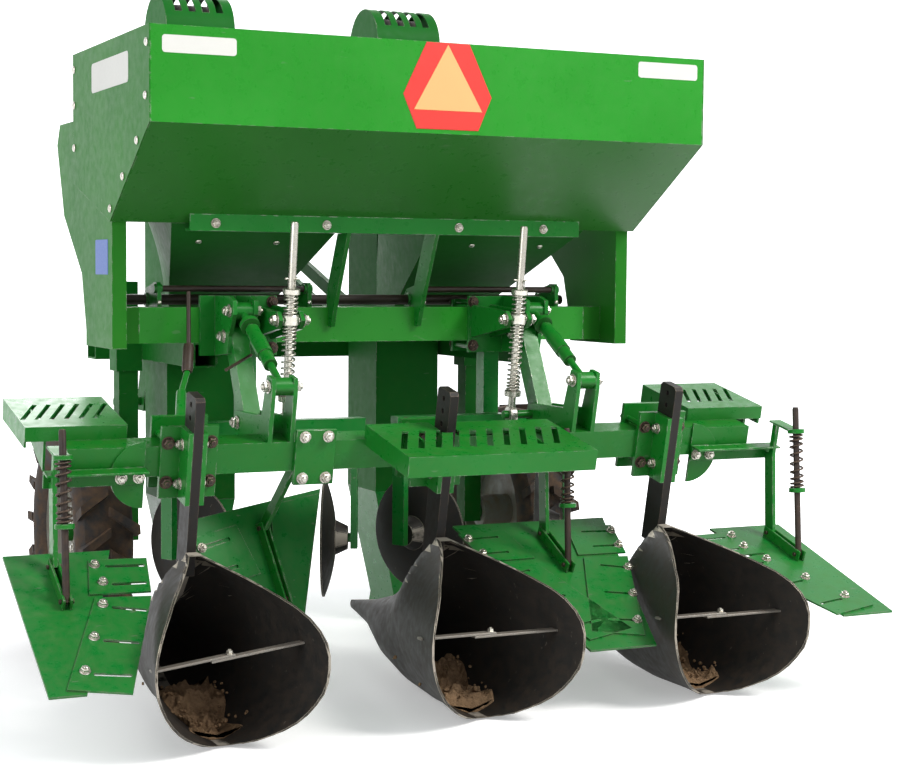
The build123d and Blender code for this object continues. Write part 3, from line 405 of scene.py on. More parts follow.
def fill_weathering(group):
    """Mask = edge or scratch noise above a level; colours mix by mask; height falls where bare."""
    add = adder(group)
    given = add("NodeGroupInput").outputs
    space = add("ShaderNodeTexCoord").outputs["Object"]
    shape = add("ShaderNodeNewGeometry").outputs
    broad = noise(add, space, 2.6, 4.0)
    fine = noise(add, space, given["Grain"], 7.0, Roughness=0.62)
    soft = add("ShaderNodeBevel", [("Radius", 0.004)], samples=2).outputs["Normal"]
    facing = add("ShaderNodeVectorMath", [(0, soft), (1, shape["True Normal"])],
                 operation="DOT_PRODUCT")
    edge = span(add, facing.outputs["Value"], 0.995, 0.84)
    chance = maths(add, "ADD", fine, given["Chips"])
    chipped = span(add, maths(add, "MULTIPLY", edge, chance), 0.52, 0.62)
    stretch = add("ShaderNodeMapping", [("Vector", space), ("Scale", (9.0, 60.0, 34.0)),
                                        ("Rotation", (0.5, 0.3, 0.9))]).outputs[0]
    rare = span(add, noise(add, stretch, 1.6, 3.0), 0.7, 0.735)
    bare = maths(add, "MAXIMUM", chipped, maths(add, "MULTIPLY", rare, given["Scratches"]))
    paint = mixed(add, span(add, broad, 0.36, 0.66), given["Paint"], given["Faded"])
    up = add("ShaderNodeSeparateXYZ", [(0, shape["True Normal"])]).outputs["Z"]
    # painted shade: faces that turn downwards darken towards that olive, by the amount given
    painted_underside_shade = maths(add, "MULTIPLY", span(add, up, -0.12, -0.5), given["Painted shade below"])
    stripped = mixed(add, bare, mixed(add, painted_underside_shade, paint, PAINTED_UNDERSIDE_SHADE), given["Bare"])
    low = add("ShaderNodeSeparateXYZ", [(0, space)]).outputs["Z"]
    near_soil = span(add, low, 1.0, 0.05, 0.12, 0.75)
    settle = maths(add, "MULTIPLY_ADD", span(add, up, 0.1, 1.0), 0.45, near_soil)
    cover = maths(add, "MULTIPLY", settle, span(add, fine, 0.38, 0.72))
    dusty = maths(add, "MULTIPLY", cover, given["Dust"], clamp=True)
    colour = mixed(add, dusty, stripped, given["Soil"])
    rough = maths(add, "ADD", given["Gloss"], span(add, fine, 0.3, 0.7, -0.06, 0.09))
    rough = maths(add, "MULTIPLY_ADD", dusty, 0.5, rough, clamp=True)
    metal = maths(add, "MULTIPLY", bare, given["Bare metal"])
    height = maths(add, "MULTIPLY_ADD", dusty, 0.8, maths(add, "MULTIPLY_ADD", bare, -0.5, fine))
    add("NodeGroupOutput", [("Colour", colour), ("Roughness", rough), ("Metallic", metal),
                            ("Height", height)])


fill_weathering(weather)
print("weathering group:", len(weather.nodes), "nodes")

# %% [markdown]
# ## Finishes
# The sheet metal has a bright green coat, darker at the ends and under the hopper, where less
# light falls. Ridging bodies and their shanks left the works black and are rubbed by soil, bolts
# and pressure springs are zinc plated, and the tyres carry dried mud. Each finish below is the
# same group with its own colours and amounts, so they age alike. One material with a painted
# mask would save some lines, but then a colour could not be changed by itself.

# %% Make a finish
def linear(red, green, blue):
    """Screen colour 0..255 to the shader's linear values: a power curve with a straight foot."""
    c = np.array([red, green, blue]) / 255
    c = np.where(c <= 0.04045, c / 12.92, ((c + 0.055) / 1.055) ** 2.4)
    return (*c.tolist(), 1.0)


SOIL = linear(120, 92, 66)


def new_material(name):
    """Material with its shader and the function that adds nodes to it."""
    material = bpy.data.materials.new(name)
    material.use_nodes = True
    return material, material.node_tree.nodes["Principled BSDF"], adder(material.node_tree)


def finish(name, paint, faded, bare, soil=SOIL, bump=0.12, depth=0.0008, specular=0.5, **amounts):
    """Principled surface fed by the weathering group; amounts set the group's named inputs."""
    material, shader, add = new_material(name)
    worn = add("ShaderNodeGroup", node_tree=weather)
    given = {"Paint": paint, "Faded": faded, "Bare": bare, "Soil": soil, **amounts}
    for title, value in given.items():
        worn.inputs[title].default_value = value
    connect = material.node_tree.links.new
    connect(worn.outputs["Colour"], shader.inputs["Base Color"])
    connect(worn.outputs["Roughness"], shader.inputs["Roughness"])
    connect(worn.outputs["Metallic"], shader.inputs["Metallic"])
    relief = add("ShaderNodeBump", [("Height", worn.outputs["Height"]), ("Strength", bump),
                                    ("Distance", depth)])
    connect(relief.outputs["Normal"], shader.inputs["Normal"])
    shader.inputs["Specular IOR Level"].default_value = specular
    material.diffuse_color = paint
    return material


def coat(name, paint, faded, bare, specular, *values, **more):
    """Finish from three screen colours; the values are the amounts in the order given here."""
    # the last amount is the painted shade on faces that turn downwards
    titles = ("Chips", "Scratches", "Dust", "Gloss", "Grain", "Painted shade below")
    colours = (linear(*colour) for colour in (paint, faded, bare))
    return finish(name, *colours, specular=specular, **dict(zip(titles, values)), **more)


# each one: paint, faded paint, what shows where it is bare, specular, then the amounts
steel = (150, 150, 146)
green = coat("green_coat", (12, 110, 30), (20, 121, 38), steel, 0.22, 0.04, 0.15, 0.16, 0.3, 38, 0.5)
green_bright = coat("green_coat_of_the_hopper", (30, 130, 30), (38, 139, 38), steel, 0.22,
                    0.04, 0.15, 0.12, 0.3, 38, 0.56)
green_end = coat("green_coat_of_the_ends", (30, 106, 30), (40, 116, 34), steel, 0.06,
                 0.04, 0.15, 0.16, 0.36, 38, 0.4)
green_shade = coat("green_coat_under_the_hopper", (16, 94, 28), (22, 104, 34), (140, 140, 134), 0.07,
                   0.04, 0.12, 0.12, 0.46, 38, 0.3)
green_low = coat("green_coat_soiled", (16, 110, 40), (23, 119, 46), (140, 138, 130), 0.3,
                 0.1, 0.35, 0.13, 0.3, 34, 0.3)
black = coat("rubbed_black", (34, 34, 33), (42, 41, 39), (176, 168, 152), 0.2,
             0.3, 0.14, 0.12, 0.52, 34)
forged = coat("dark_forged_steel", (38, 30, 27), (52, 41, 35), (110, 92, 78), 0.3,
              0.3, 0.3, 0.3, 0.45, 60)
shank_black = coat("black_shank", (21, 20, 20), (31, 29, 28), (96, 86, 76), 0.22,
                   0.12, 0.2, 0.1, 0.46, 50)
zinc = coat("zinc_plate", (206, 204, 196), (186, 182, 170), (130, 122, 108), 0.5,
            0.1, 0.2, 0.15, 0.26, 90)
rim_coat = coat("pale_rim_coat", (120, 122, 112), (100, 100, 90), (90, 84, 76), 0.5,
                0.3, 0.3, 0.9, 0.5, 30)
rubber = coat("muddy_rubber", (34, 33, 34), (46, 43, 42), (60, 56, 50), 0.3,
              -0.6, 0.0, 0.9, 0.72, 26, bump=0.35, depth=0.002)
belting = coat("belt_rubber", (36, 36, 36), (48, 48, 46), (60, 60, 60), 0.5,
               -0.6, 0.0, 0.4, 0.7, 120)
# the lighter tan that the soil takes, most on faces turned up, is partly dry crust and partly painted
# highlight
soil = coat("damp_soil", (142, 112, 84), (176, 146, 114), (104, 80, 60), 0.15,
            -0.6, 0.0, 1.2, 0.92, 55, soil=linear(160, 130, 98), bump=0.9, depth=0.006)
spreader_steel = coat("rubbed_flat_steel", (120, 116, 108), (96, 92, 86), (150, 146, 138), 0.5,
                      0.2, 0.4, 0.3, 0.4, 80)


def all_metal(material, share):
    """A finish that is metal all over: the linked mask gives way to one value on the shader."""
    socket = material.node_tree.nodes["Principled BSDF"].inputs["Metallic"]
    material.node_tree.links.remove(socket.links[0])
    socket.default_value = share


all_metal(zinc, 0.85)


def cut_edges(material, worn, narrow=0.06):
    """Mix in bare metal where a face stands square to the travel, as a cut sheet's rim does."""
    tree = material.node_tree
    add = adder(tree)
    shader = tree.nodes["Principled BSDF"]
    normal = add("ShaderNodeNewGeometry").outputs["True Normal"]
    side = add("ShaderNodeSeparateXYZ", [(0, normal)]).outputs["X"]
    rim = span(add, maths(add, "ABSOLUTE", side), narrow, narrow / 2)
    space = add("ShaderNodeTexCoord").outputs["Object"]
    mask = maths(add, "MULTIPLY", rim, span(add, noise(add, space, 30.0, 5.0), 0.36, 0.5))
    socket = shader.inputs["Base Color"]
    tree.links.new(mixed(add, mask, socket.links[0].from_socket, worn), socket)


cut_edges(black, linear(158, 150, 138))

# %% [markdown]
# ## Finishes on the solid model's pieces
# Each piece of the solid model keeps its shape and takes the finish that its real one has.
# The pieces near the ground take the coat that has more soil on it.

# %% Put the finishes on
coats = {
    "tyre": rubber, "rim": rim_coat, "cup_belts": belting, "pressure_rods": zinc,
    "ridger_shanks": forged, "feed_shafts": forged, "ridger": black, "disc": black,
    "disc_arms": green_low, "furrow_openers": green_low, "ridge_board": green_low,
    "hopper_shell": green_bright, "main_beam": green_bright,
    "hopper_side": green_end, "drive_cover": green_end,
    "elevator": green_shade, "seed_funnels": green_shade, "side_frames": green_shade,
    "wheel_arms": green_shade, "headstock": green_shade,
}
for node, thing in frame["nodes"].items():
    names = sorted((key for key in coats if node.startswith(key)), key=len)
    thing.data.materials.clear()
    thing.data.materials.append(coats[names[-1]] if names else green)
print("finished nodes:", len(frame["nodes"]))

# %% [markdown]
# ## The slow-vehicle sign
# The sign is a triangle with its corners cut off: a red reflecting border round an orange
# centre. It could be one plate with a painted mask, but two thin plates show the real step
# between the border sheet and the centre sheet.

# %% Sign and blank plates
def plain(name, colour, rough, bump=0.05):
    """Sheet with a faint orange-peel grain and a little dust, for signs and plates."""
    return finish(name, colour, tuple(np.array(colour) * 0.94), colour, bump=bump, Chips=-0.4,
                  Scratches=0.06, Dust=0.12, Gloss=rough, Grain=140.0, **{"Bare metal": 0.0})


sign_red = plain("sign_red", linear(214, 48, 40), 0.35)
sign_orange = plain("sign_orange", linear(240, 170, 108), 0.4)
label_white = plain("blank_label", linear(208, 208, 202), 0.45)
label_blue = plain("blank_blue_label", linear(70, 104, 176), 0.45)
back_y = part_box("hopper_shell")[0].y
side_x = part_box("hopper_side_left")[0].x


def back_place(x, z, proud=0.0):
    """Place on the hopper's rear wall: local x across, local y up, local z out to the rear."""
    return set_at((1, 0, 0), (0, 0, 1), (0, -1, 0), (x, back_y - proud, z))


def left_place(face_x, y, z):
    """Place on a wall that faces left: local x to the rear, local y up, local z out to the left."""
    return set_at((0, -1, 0), (0, 0, 1), (-1, 0, 0), (face_x, y, z))


sign_at = (0.006, 1.628)
border = [(-0.063, 0.135), (0.063, 0.135), (0.13, -0.004), (0.091, -0.094), (-0.091, -0.094),
          (-0.13, -0.004)]
centre = [(-0.001, 0.131), (0.102, -0.044), (-0.1, -0.044)]
piece("sign_border", plate(border, 0.002, back_place(*sign_at)), sign_red, smooth=30)
piece("sign_centre", plate(centre, 0.0012, back_place(*sign_at, proud=0.002)), sign_orange,
      smooth=30)
cover_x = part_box("drive_cover_left")[0].x
for name, width, height, radius, place, colour in (
    ("label_left", 0.194, 0.044, 0.008, back_place(-0.68, 1.717), label_white),
    ("label_right", 0.194, 0.044, 0.008, back_place(0.69, 1.725), label_white),
    ("label_side", 0.37, 0.08, 0.012, left_place(side_x, -0.16, 1.677), label_white),
    ("label_cover", 0.13, 0.095, 0.004, left_place(cover_x, -0.035, 1.19), label_blue),
):
    outline = rounded_rectangle(width, height, radius)
    piece(name, plate(outline, 0.001, place, rim=0.0005), colour, smooth=30)

# %% [markdown]
# ## Where the tools hang
# The tool bar and all that is clamped to it lean 12 degrees, and each ridge board lies on its
# own slope. Two small maps turn places along those pieces into places on the planter, so that
# a bolt can be named by the plate it goes through. Snapping each one by hand would be slower.

# %% Maps of the tilted pieces
lean = math.radians(12)
bar_centre = np.array([0, -0.452, 0.68])
bar_half = 0.04
bar_back = bar_centre[1] - bar_half
row_spacing = 0.7
rows = {"left": -row_spacing, "centre": 0.0, "right": row_spacing}
bar_ahead = np.array([0, math.cos(lean), math.sin(lean)])
bar_up = np.array([0, -math.sin(lean), math.cos(lean)])


def on_bar(x, ahead, up):
    """Point = middle of the tool bar + ahead along its tilted level + up square to it."""
    return bar_centre + (x, 0, 0) + ahead * bar_ahead + up * bar_up


boards = {
    # front edge's middle, (yaw, pitch, roll) in degrees, length
    "left_outer": ((-1.025, -0.442, 0.44), (0, 27, 0), 0.55),
    "left_inner": ((-0.45, -0.28, 0.52), (20, 70, -6), 0.48),
    "right_inner": ((0.38, -0.312, 0.432), (0, 26, 0), 0.606),
    "right_outer": ((1.038, -0.442, 0.4), (0, 17.5, 0), 0.568),
}


def board_axes(name):
    """Across, ahead up the slope, and the upper face's normal, from the board's three turns."""
    yaw, pitch, roll = (math.radians(turn) for turn in boards[name][1])
    across = np.array([math.cos(roll) * math.cos(yaw), math.cos(roll) * math.sin(yaw),
                       -math.sin(roll)])
    level = np.array([-math.sin(yaw), math.cos(yaw), 0])
    ahead = level * math.cos(pitch) + np.cross(across, level) * math.sin(pitch)
    return across, ahead, np.cross(across, ahead)


def on_board(name, x, y, z):
    """Point = front edge's middle + x across + y ahead + z out of the upper face."""
    return np.array(boards[name][0]) + np.array([x, y, z]) @ np.array(board_axes(name))


# %% [markdown]
# ## Ridge boards with their slotted wings
# Each board is a flat sheet that tapers to the rear. On it lie two wing plates whose slots let
# them slide outwards for wider ridges. The solid model keeps the bare sheets, so these pieces
# take their places. Cutting with booleans would do too; a triangulation with holes is exact.

# %% Boards and wings
board_sheets = {
    # front half width, rear middle's shift, rear half width, wing sides, wing root
    "left_outer": (0.135, -0.091, 0.044, (1,), 0.07),
    "left_inner": (0.24, -0.095, 0.062, (-1,), 0.08),
    "right_inner": (0.245, 0.0, 0.1, (-1, 1), 0.1),
    "right_outer": (0.122, 0.04, 0.082, (-1,), 0.08),
}
wing_plates = (((0, 0), (0.148, -0.006), (0.124, -0.146), (-0.03, -0.143)),
               ((-0.019, -0.156), (0.12, -0.165), (-0.016, -0.525), (-0.161, -0.491)))
wing_slots = (((0.039, -0.032), (0.131, -0.037)), ((0.039, -0.108), (0.118, -0.11)),
              ((0.016, -0.201), (0.091, -0.221)), ((-0.034, -0.326), (0.042, -0.343)),
              ((-0.084, -0.446), (-0.007, -0.461)))
slots_of = ((0, 1), (2, 3, 4))
slot_width = 0.01
wing_front = -0.042
board_wall, wing_wall = 0.006, 0.005


def board_place(name, rise):
    """Matrix of a board's plane, raised along its normal."""
    return set_at(*board_axes(name), on_board(name, 0, 0, rise))


def on_wing(side, root, places):
    """Places of a wing plate on its board: out by the root, mirrored by the side."""
    return [(side * (root + x), y + wing_front) for x, y in places]


for name, (front_half, shift, rear_half, wing_sides, root) in board_sheets.items():
    length = boards[name][2]
    sheet = [(-front_half, 0), (front_half, 0), (shift + rear_half, -length),
             (shift - rear_half, -length)]
    shapes = [slotted_plate(sheet, [], board_wall, board_place(name, 0))]
    upper = board_place(name, board_wall)
    for side in wing_sides:
        for corners, indices in zip(wing_plates, slots_of):
            if wing_front + corners[-1][1] < -length:
                continue
            holes = [slot_loop(*on_wing(side, root, wing_slots[k]), slot_width) for k in indices]
            shapes.append(slotted_plate(on_wing(side, root, corners), holes, wing_wall, upper))
    if name == "left_inner":
        strip = [(0.05, -0.012), (0.228, -0.012), (-0.02, -0.44), (-0.075, -0.44)]
        shapes.append(slotted_plate(strip, [], wing_wall, upper))
    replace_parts(piece(f"board_{name}", joined(shapes), green_low), f"ridge_board_{name}")

# %% [markdown]
# ## Hangers and springs of the boards
# Arms of angle iron carry the outer boards past the tool bar's ends, bolted to half-round
# plates. A post goes down to each board's hinge, and a rod with a spring presses its rear part.
# Straight bars with a small bevel are enough here, each one placed by the piece that holds it.

# %% Bars, posts, straps and rods
lug_rise, strap_shift = 0.0213, 0.0093
strap_half, post_half = (0.003, 0.015), (0.006, 0.02)
pin_reach, pin_radius = 0.018, 0.006
# shares of a board's length: straps' start, hinge, rod's foot, straps' overhang past the last pin
strap_share, hinge_share, foot_share, overhang = 0.11, 0.14, 0.4, 0.03
# half-round plate: x of its flat side, radius, wall, and its place (ahead, up) on the tool bar
disc_x, disc_radius, disc_wall, disc_at = 0.812, 0.088, 0.006, (-0.0401, -0.033)
# upright and level leg of an angle arm: lowest and highest (ahead, up) of each
arm_legs = (((-0.0521, -0.056), (-0.0461, -0.01)), ((-0.0921, -0.016), (-0.0521, -0.01)))
# shares of a rod's length: its two cups, the coil between them, the bracket at its top
cup_shares, coil_shares, bracket_share = ((0.42, 0.45), (0.82, 0.85)), (0.454, 0.816), 0.835
coil_radius, wire_radius, cup_radius = 0.0175, 0.0029, 0.024
bracket_half, rib_half = (0.02, 0.003), 0.006
X = np.array([1.0, 0, 0])


def to_bar(point):
    """Place in the tool bar's own frame: x, ahead, up."""
    away = np.asarray(point, float) - bar_centre
    return np.array([away[0], away @ bar_ahead, away @ bar_up])


def bar_box(low, high):
    """Box between two corners given in the tool bar's frame."""
    low, high = np.asarray(low, float), np.asarray(high, float)
    middle, half = (low + high) / 2, (high - low) / 2
    ends = on_bar(low[0], *middle[1:]), on_bar(high[0], *middle[1:])
    return flat_bar(*ends, half[1], half[2], bar_ahead)


def lug(name, x, share):
    """Place at x over a board, at its lugs' height, a share of its length down from the front."""
    front, _, length = boards[name]
    return on_board(name, x - front[0], -share * length, lug_rise)


hangers = (
    # board, x of the straps, x and side of the bar that hold them, the rod's head (y, z)
    ("left_outer", -1.05, -0.905, -1, (-0.615, 0.772)),
    ("left_inner", -0.455, -0.35, 1, None),
    ("right_inner", 0.386, 0.386, 1, (-0.522, 0.725)),
    ("right_outer", 1.075, 0.905, -1, (-0.636, 0.775)),
)
bars, rods, board_coils = [], [], []
for name, x, held_x, face, head in hangers:
    across = board_axes(name)[0]
    tail = foot_share if head else 0.56
    # two straps along the board and the pins through them
    for side in (-1, 1):
        shares = strap_share, tail + overhang
        ends = [lug(name, x + side * strap_shift, share) for share in shares]
        bars.append(flat_bar(*ends, *strap_half, across))
    for share in (hinge_share, tail):
        pin = lug(name, x, share)
        rods.append(rod(pin - across * pin_reach, pin + across * pin_reach, pin_radius, 14))
    # outer boards: half-round plate and angle arm; inner boards: a plate on the bar's face
    if head and held_x != x:
        way = 1 if x > 0 else -1
        turn = np.linspace(-np.pi / 2, np.pi / 2, 22)
        half_disc = disc_radius * np.column_stack([np.cos(turn) * way, np.sin(turn)])
        place = set_at(X, bar_up, -bar_ahead, on_bar(way * disc_x, *disc_at))
        bars.append(slotted_plate(half_disc, [], disc_wall, place))
        near, far = sorted((way * disc_x, x + way * 0.02))
        bars += [bar_box((near, *low), (far, *high)) for low, high in arm_legs]
        root = on_bar(x, -0.072, -0.033)
    else:
        near, far = sorted((face * 0.0402, face * 0.052))
        bars.append(bar_box((held_x - 0.03, near, -0.06), (held_x + 0.03, far, 0.04)))
        root = on_bar(held_x, face * 0.066, -0.02)
    if name == "left_inner":
        bars.append(bar_box((-0.412, -0.052, -0.076), (-0.3, -0.0402, 0.074)))
    # the post down to the hinge, then the rod with its cups, its coil and the bracket at its top
    bars.append(flat_bar(root, lug(name, x, hinge_share), *post_half, X))
    foot = lug(name, x, foot_share)
    if not head:
        rods.append(rod(foot, lug(name, x, tail), 0.0045, 12))
        continue
    top = np.array([x, *head])
    rods.append(turned(foot, top, [(0, 0.009), (0.985, 0.009), (1, 0.007)], 18))
    for shares in cup_shares:
        bars.append(collar(*between(foot, top, *shares), cup_radius, 0.0015, 0.08))
    coil = coil_path(*between(foot, top, *coil_shares), coil_radius, 9, 20, 0.5)
    board_coils.append(tube(coil, wire_radius))
    cup, held = to_bar(foot + (top - foot) * bracket_share), to_bar(root)
    near = -bar_half if face > 0 else held[1]
    width, wall = bracket_half
    bars.append(bar_box((x - width, cup[1], cup[2] - wall), (x + width, near, cup[2] + wall)))
    if face < 0:
        bars.append(bar_box((x - rib_half, near - 0.02, held[2]), (x + rib_half, near, cup[2])))
hanger_bars = piece("hanger_bars", joined(bars), green, smooth=30)
hanger_rods = piece("hanger_rods", joined(rods), forged, smooth=30)
board_springs = piece("board_springs", joined(board_coils), forged, smooth=60)
for thing in (hanger_bars, hanger_rods, board_springs):
    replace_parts(thing, "board_hangers")

# %% [markdown]
# ## Pressure rods with true coils
# Two rods press the rear gang down through springs held between collars. The solid model has
# plain sleeves there, which keep the collision simple. Here each spring is a helix whose turns
# close up at the ends, as ground spring ends do. A screw modifier could not vary its pitch.

# %% Rods, collars and coils
rod_x = 0.348
# (y, z) of a rod's foot, its head and the swivel that it slides through
rod_foot, rod_head, swivel_at = (-0.256, 0.745), (-0.326, 1.288), (-0.29, 1.022)
eye_reach, swivel_reach = 0.011, 0.0255
# shares of the rod's length for the collars, and with their turns for the two coils
collar_shares = (0.1, 0.13), (0.485, 0.54), (0.64, 0.67)
coils = (0.134, 0.481, 15), (0.544, 0.636, 4.5)
rod_parts, pressure_coils = [], []
for side in (-1, 1):
    foot, head, swivel = (np.array([side * rod_x, *at]) for at in (rod_foot, rod_head, swivel_at))
    rod_parts.append(turned(foot, head, [(0, 0.011), (0.99, 0.011), (1, 0.009)]))
    for shares in collar_shares:
        rod_parts.append(collar(*between(foot, head, *shares), cup_radius, 0.0018, 0.1))
    rod_parts.append(collar(foot - X * eye_reach, foot + X * eye_reach, cup_radius, 0.001, 0.1))
    rod_parts.append(rod(swivel - X * swivel_reach, swivel + X * swivel_reach, 0.012, 18))
    for start, end, turns in coils:
        coil = coil_path(*between(foot, head, start, end), coil_radius, turns, 18, 0.35)
        pressure_coils.append(tube(coil, wire_radius))
for name, shapes, angle in (("rods_and_collars", rod_parts, 30),
                            ("pressure_springs", pressure_coils, 60)):
    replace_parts(piece(name, joined(shapes), zinc, smooth=angle), "pressure_rods")

# %% [markdown]
# ## Ridging bodies
# A ridging body is one folded sheet: two bowed flanks from a pointed nose to an open rear whose
# rim is cut along arcs. The surface runs along by one parameter and round by the other, and the
# end of each line is found on the rim's arcs. Sculpting would lose the even wall thickness.

# %% Folded flanks cut along the rim
stations = np.array([
    # place behind the bar's back, half width, top, bottom, share of the height where it is widest
    (0.6, 0.005, 0.166, 0.142, 0.5), (0.397, 0.042, 0.2, 0.118, 0.5),
    (0.23, 0.08, 0.242, 0.048, 0.45), (0.09, 0.104, 0.318, 0.012, 0.42),
    (-0.03, 0.126, 0.44, 0.0, 0.4), (-0.22, 0.168, 0.44, 0.0, 0.45), (-0.45, 0.217, 0.44, 0.0, 0.5)])
rim_arcs = (((-0.03, 0.44), (-0.19, 0.404), (-0.345, 0.352)),
            ((-0.345, 0.352), (-0.432, 0.288), (-0.449, 0.18)),
            ((-0.449, 0.18), (-0.392, 0.058), (-0.25, 0.0)))
ridger_wall = 0.006


def circle_through(a, b, c):
    """Centre and radius from three points: both perpendicular bisectors meet there."""
    (ax, ay), (bx, by), (cx, cy) = a, b, c
    square = np.array([bx**2 - ax**2 + by**2 - ay**2, cx**2 - bx**2 + cy**2 - by**2]) / 2
    middle = np.linalg.solve(np.array([(bx - ax, by - ay), (cx - bx, cy - by)]), square)
    return middle, float(np.hypot(ax - middle[0], ay - middle[1]))


def arc_points(a, b, c, count):
    """Points from a through b to c on their circle."""
    middle, radius = circle_through(a, b, c)
    angles = [math.atan2(p[1] - middle[1], p[0] - middle[0]) for p in (a, b, c)]
    sweep = (angles[2] - angles[0]) % (2 * math.pi)
    if (angles[1] - angles[0]) % (2 * math.pi) > sweep:
        sweep -= 2 * math.pi
    turn = angles[0] + sweep * np.linspace(0, 1, count)
    return middle + radius * np.column_stack([np.cos(turn), np.sin(turn)])


rim_line = np.concatenate([arc_points(*arc, 24) for arc in rim_arcs])
rim_line = rim_line[np.argsort(rim_line[:, 1], kind="stable")]


def tip_of(half):
    """Half width of the narrow flats at the top and bottom of a section."""
    return min(0.015, half / 3)


def section_loop(half, top, low, belly, shrink, count=22):
    """Closed loop (x, z) of a section: up the right flank, over the top tip, down the left flank."""
    tip, up, down = tip_of(half), top - shrink, low + shrink
    flank = arc_points((tip, down), (half - shrink, low + belly * (top - low)), (tip, up), count)
    return np.concatenate([flank, flank[::-1] * (-1, 1)])


def ridger_grid(shrink, along_count=34):
    """Points over (along, round); each line ends where its height meets the rim."""
    kept = stations[1:] if shrink else stations
    loops = np.array([section_loop(*sizes, shrink) for sizes in kept[:, 1:]])
    places, count = kept[:, 0], loops.shape[1]
    fine = np.linspace(places[0], places[-1], 260)
    x, z = (np.array([np.interp(-fine, -places, loops[:, k, part]) for k in range(count)])
            for part in (0, 1))
    behind = fine[None] < np.interp(z, rim_line[:, 1], rim_line[:, 0])
    ends = np.where(behind.any(1), fine[np.argmax(behind, 1)], fine[-1])
    share = np.linspace(0, 1, along_count)
    along = places[0] + (ends[None] - places[0]) * share[:, None]
    xs, zs = (np.array([np.interp(-along[:, k], -fine, line[k]) for k in range(count)]).T
              for line in (x, z))
    return np.stack([xs, along + bar_back, zs], -1)


outer, inner = ridger_grid(0.0), ridger_grid(ridger_wall)[::-1]
caps = [grid[:1].mean(1, keepdims=True).repeat(outer.shape[1], 1) for grid in (outer, inner[::-1])]
skin = np.concatenate([caps[0], outer, inner, caps[1]])
for word, x in rows.items():
    body = piece(f"ridging_body_{word}", skinned(skin + (x, 0, 0)), black, smooth=50)
    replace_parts(body, f"ridger_{word}")

# %% Spreader bars and shanks
spreader_y, spreader_z, spreader_half = -0.829, 0.232, 0.201
flat_half, flat_wall_half, shank_thickness, hole_radius = 0.013, 0.003, 0.025, 0.0075
shank_outline = [(-0.04, -0.285), (0.04, -0.285), (0.04, 0.176), (0.031, 0.185), (-0.031, 0.185),
                 (-0.04, 0.176)]
round_turn = np.linspace(0, 2 * np.pi, 16, endpoint=False)
hole = hole_radius * np.column_stack([np.cos(round_turn), np.sin(round_turn)])
shank_holes = [hole + (0, up) for up in (0.09, 0.125, 0.16)]
lap = np.array([0, 0, flat_wall_half])
spreaders, shanks = [], []
for x, rise in zip(rows.values(), (0.024, 0.0, 0.0)):
    half = spreader_half - rise / 4
    ends = (x - half, spreader_y, spreader_z - rise), (x + half, spreader_y, spreader_z + rise)
    for start, end, up in ((0, 0.53, lap), (0.375, 1, -lap)):
        first, last = between(*ends, start, end)
        spreaders.append(flat_bar(first + up, last + up, flat_half, flat_wall_half, (0, 1, 0)))
    place = set_at(bar_ahead, bar_up, X, on_bar(x - shank_thickness / 2, -0.08, 0))
    shanks.append(slotted_plate(shank_outline, shank_holes, shank_thickness, place))
piece("spreader_bars", joined(spreaders), spreader_steel, smooth=30)
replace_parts(piece("shank_bars", joined(shanks), shank_black, smooth=30), "ridger_shanks")

# %% [markdown]
# ## Bolts, nuts and washers
# A bolted frame shows its nuts from every side. One nut is a washer, a six-sided prism with
# turned-down corners and a short threaded end, a hundred faces in all. It is stamped wherever
# the clamps, hinges, boards and panels are held. Instancing on points would hide the reasons.

# %% One nut and one round head
def nut(size):
    """Washer, six-sided nut and bolt end stacked along z; the size is half the width over corners."""
    stack = (([(0, 0), (1.28, 0), (1.32, 0.1), (1.26, 0.22), (0, 0.22)], 14),
             ([(0, 0.2), (0.98, 0.2), (1.04, 0.3), (1.04, 0.94), (0.86, 1.06), (0, 1.06)], 6),
             ([(0, 1.0), (0.56, 1.0), (0.56, 1.36), (0.44, 1.46), (0, 1.46)], 10))
    turned_parts = [lathe(profile, (0, 0, 0), (0, 0, 1), sides) for profile, sides in stack]
    points, faces = joined(turned_parts)
    return points * size, faces


def dome(size):
    """Round head: radius and height follow a flattened quarter circle."""
    turn = np.linspace(0, np.pi / 2, 5)
    profile = [(0, 0), *np.column_stack([np.cos(turn), 0.12 + 0.5 * np.sin(turn)]).tolist()]
    profile[-1][0] = 0
    points, faces = lathe(profile, (0, 0, 0), (0, 0, 1), 14)
    return points * size, faces


def fasten(name, shape, places, material, body="frame"):
    """Stamp one fastener at all its places and say how many there are."""
    print(name, "count", len(places))
    return piece(name, stamp(shape, places), material, body, smooth=34)


# %% Nuts of the clamps, brackets, pins and boards
clamp_face = 0.052
clamp_places, cheek_places, pin_places, board_places = [], [], [], []
for x, side, up in product(rows.values(), (-1, 1), (-clamp_face, clamp_face)):
    for face in (-1, 1):
        clamp_places.append((on_bar(x + side * 0.057, face * clamp_face, up), face * bar_ahead))
    cheek_places.append((on_bar(x + side * 0.0248, -0.069, up), (side, 0, 0)))
for side, x, z, face in product((-1, 1), (0.317, 0.456), (0.938, 1.068), (-1, 1)):
    clamp_places.append(((side * x, face * 0.062, z), (0, face, 0)))
fasten("clamp_nuts", nut(0.0135), clamp_places, forged)
for x, up in product((-0.388, -0.323), (-0.057, 0.056)):
    cheek_places.append((on_bar(x, -clamp_face, up), -bar_ahead))
for side, x in product((-1, 1), (0.828, 0.874)):
    cheek_places.append((on_bar(side * x, -0.0521, -0.036), -bar_ahead))
fasten("cheek_nuts", nut(0.0125), cheek_places, zinc)

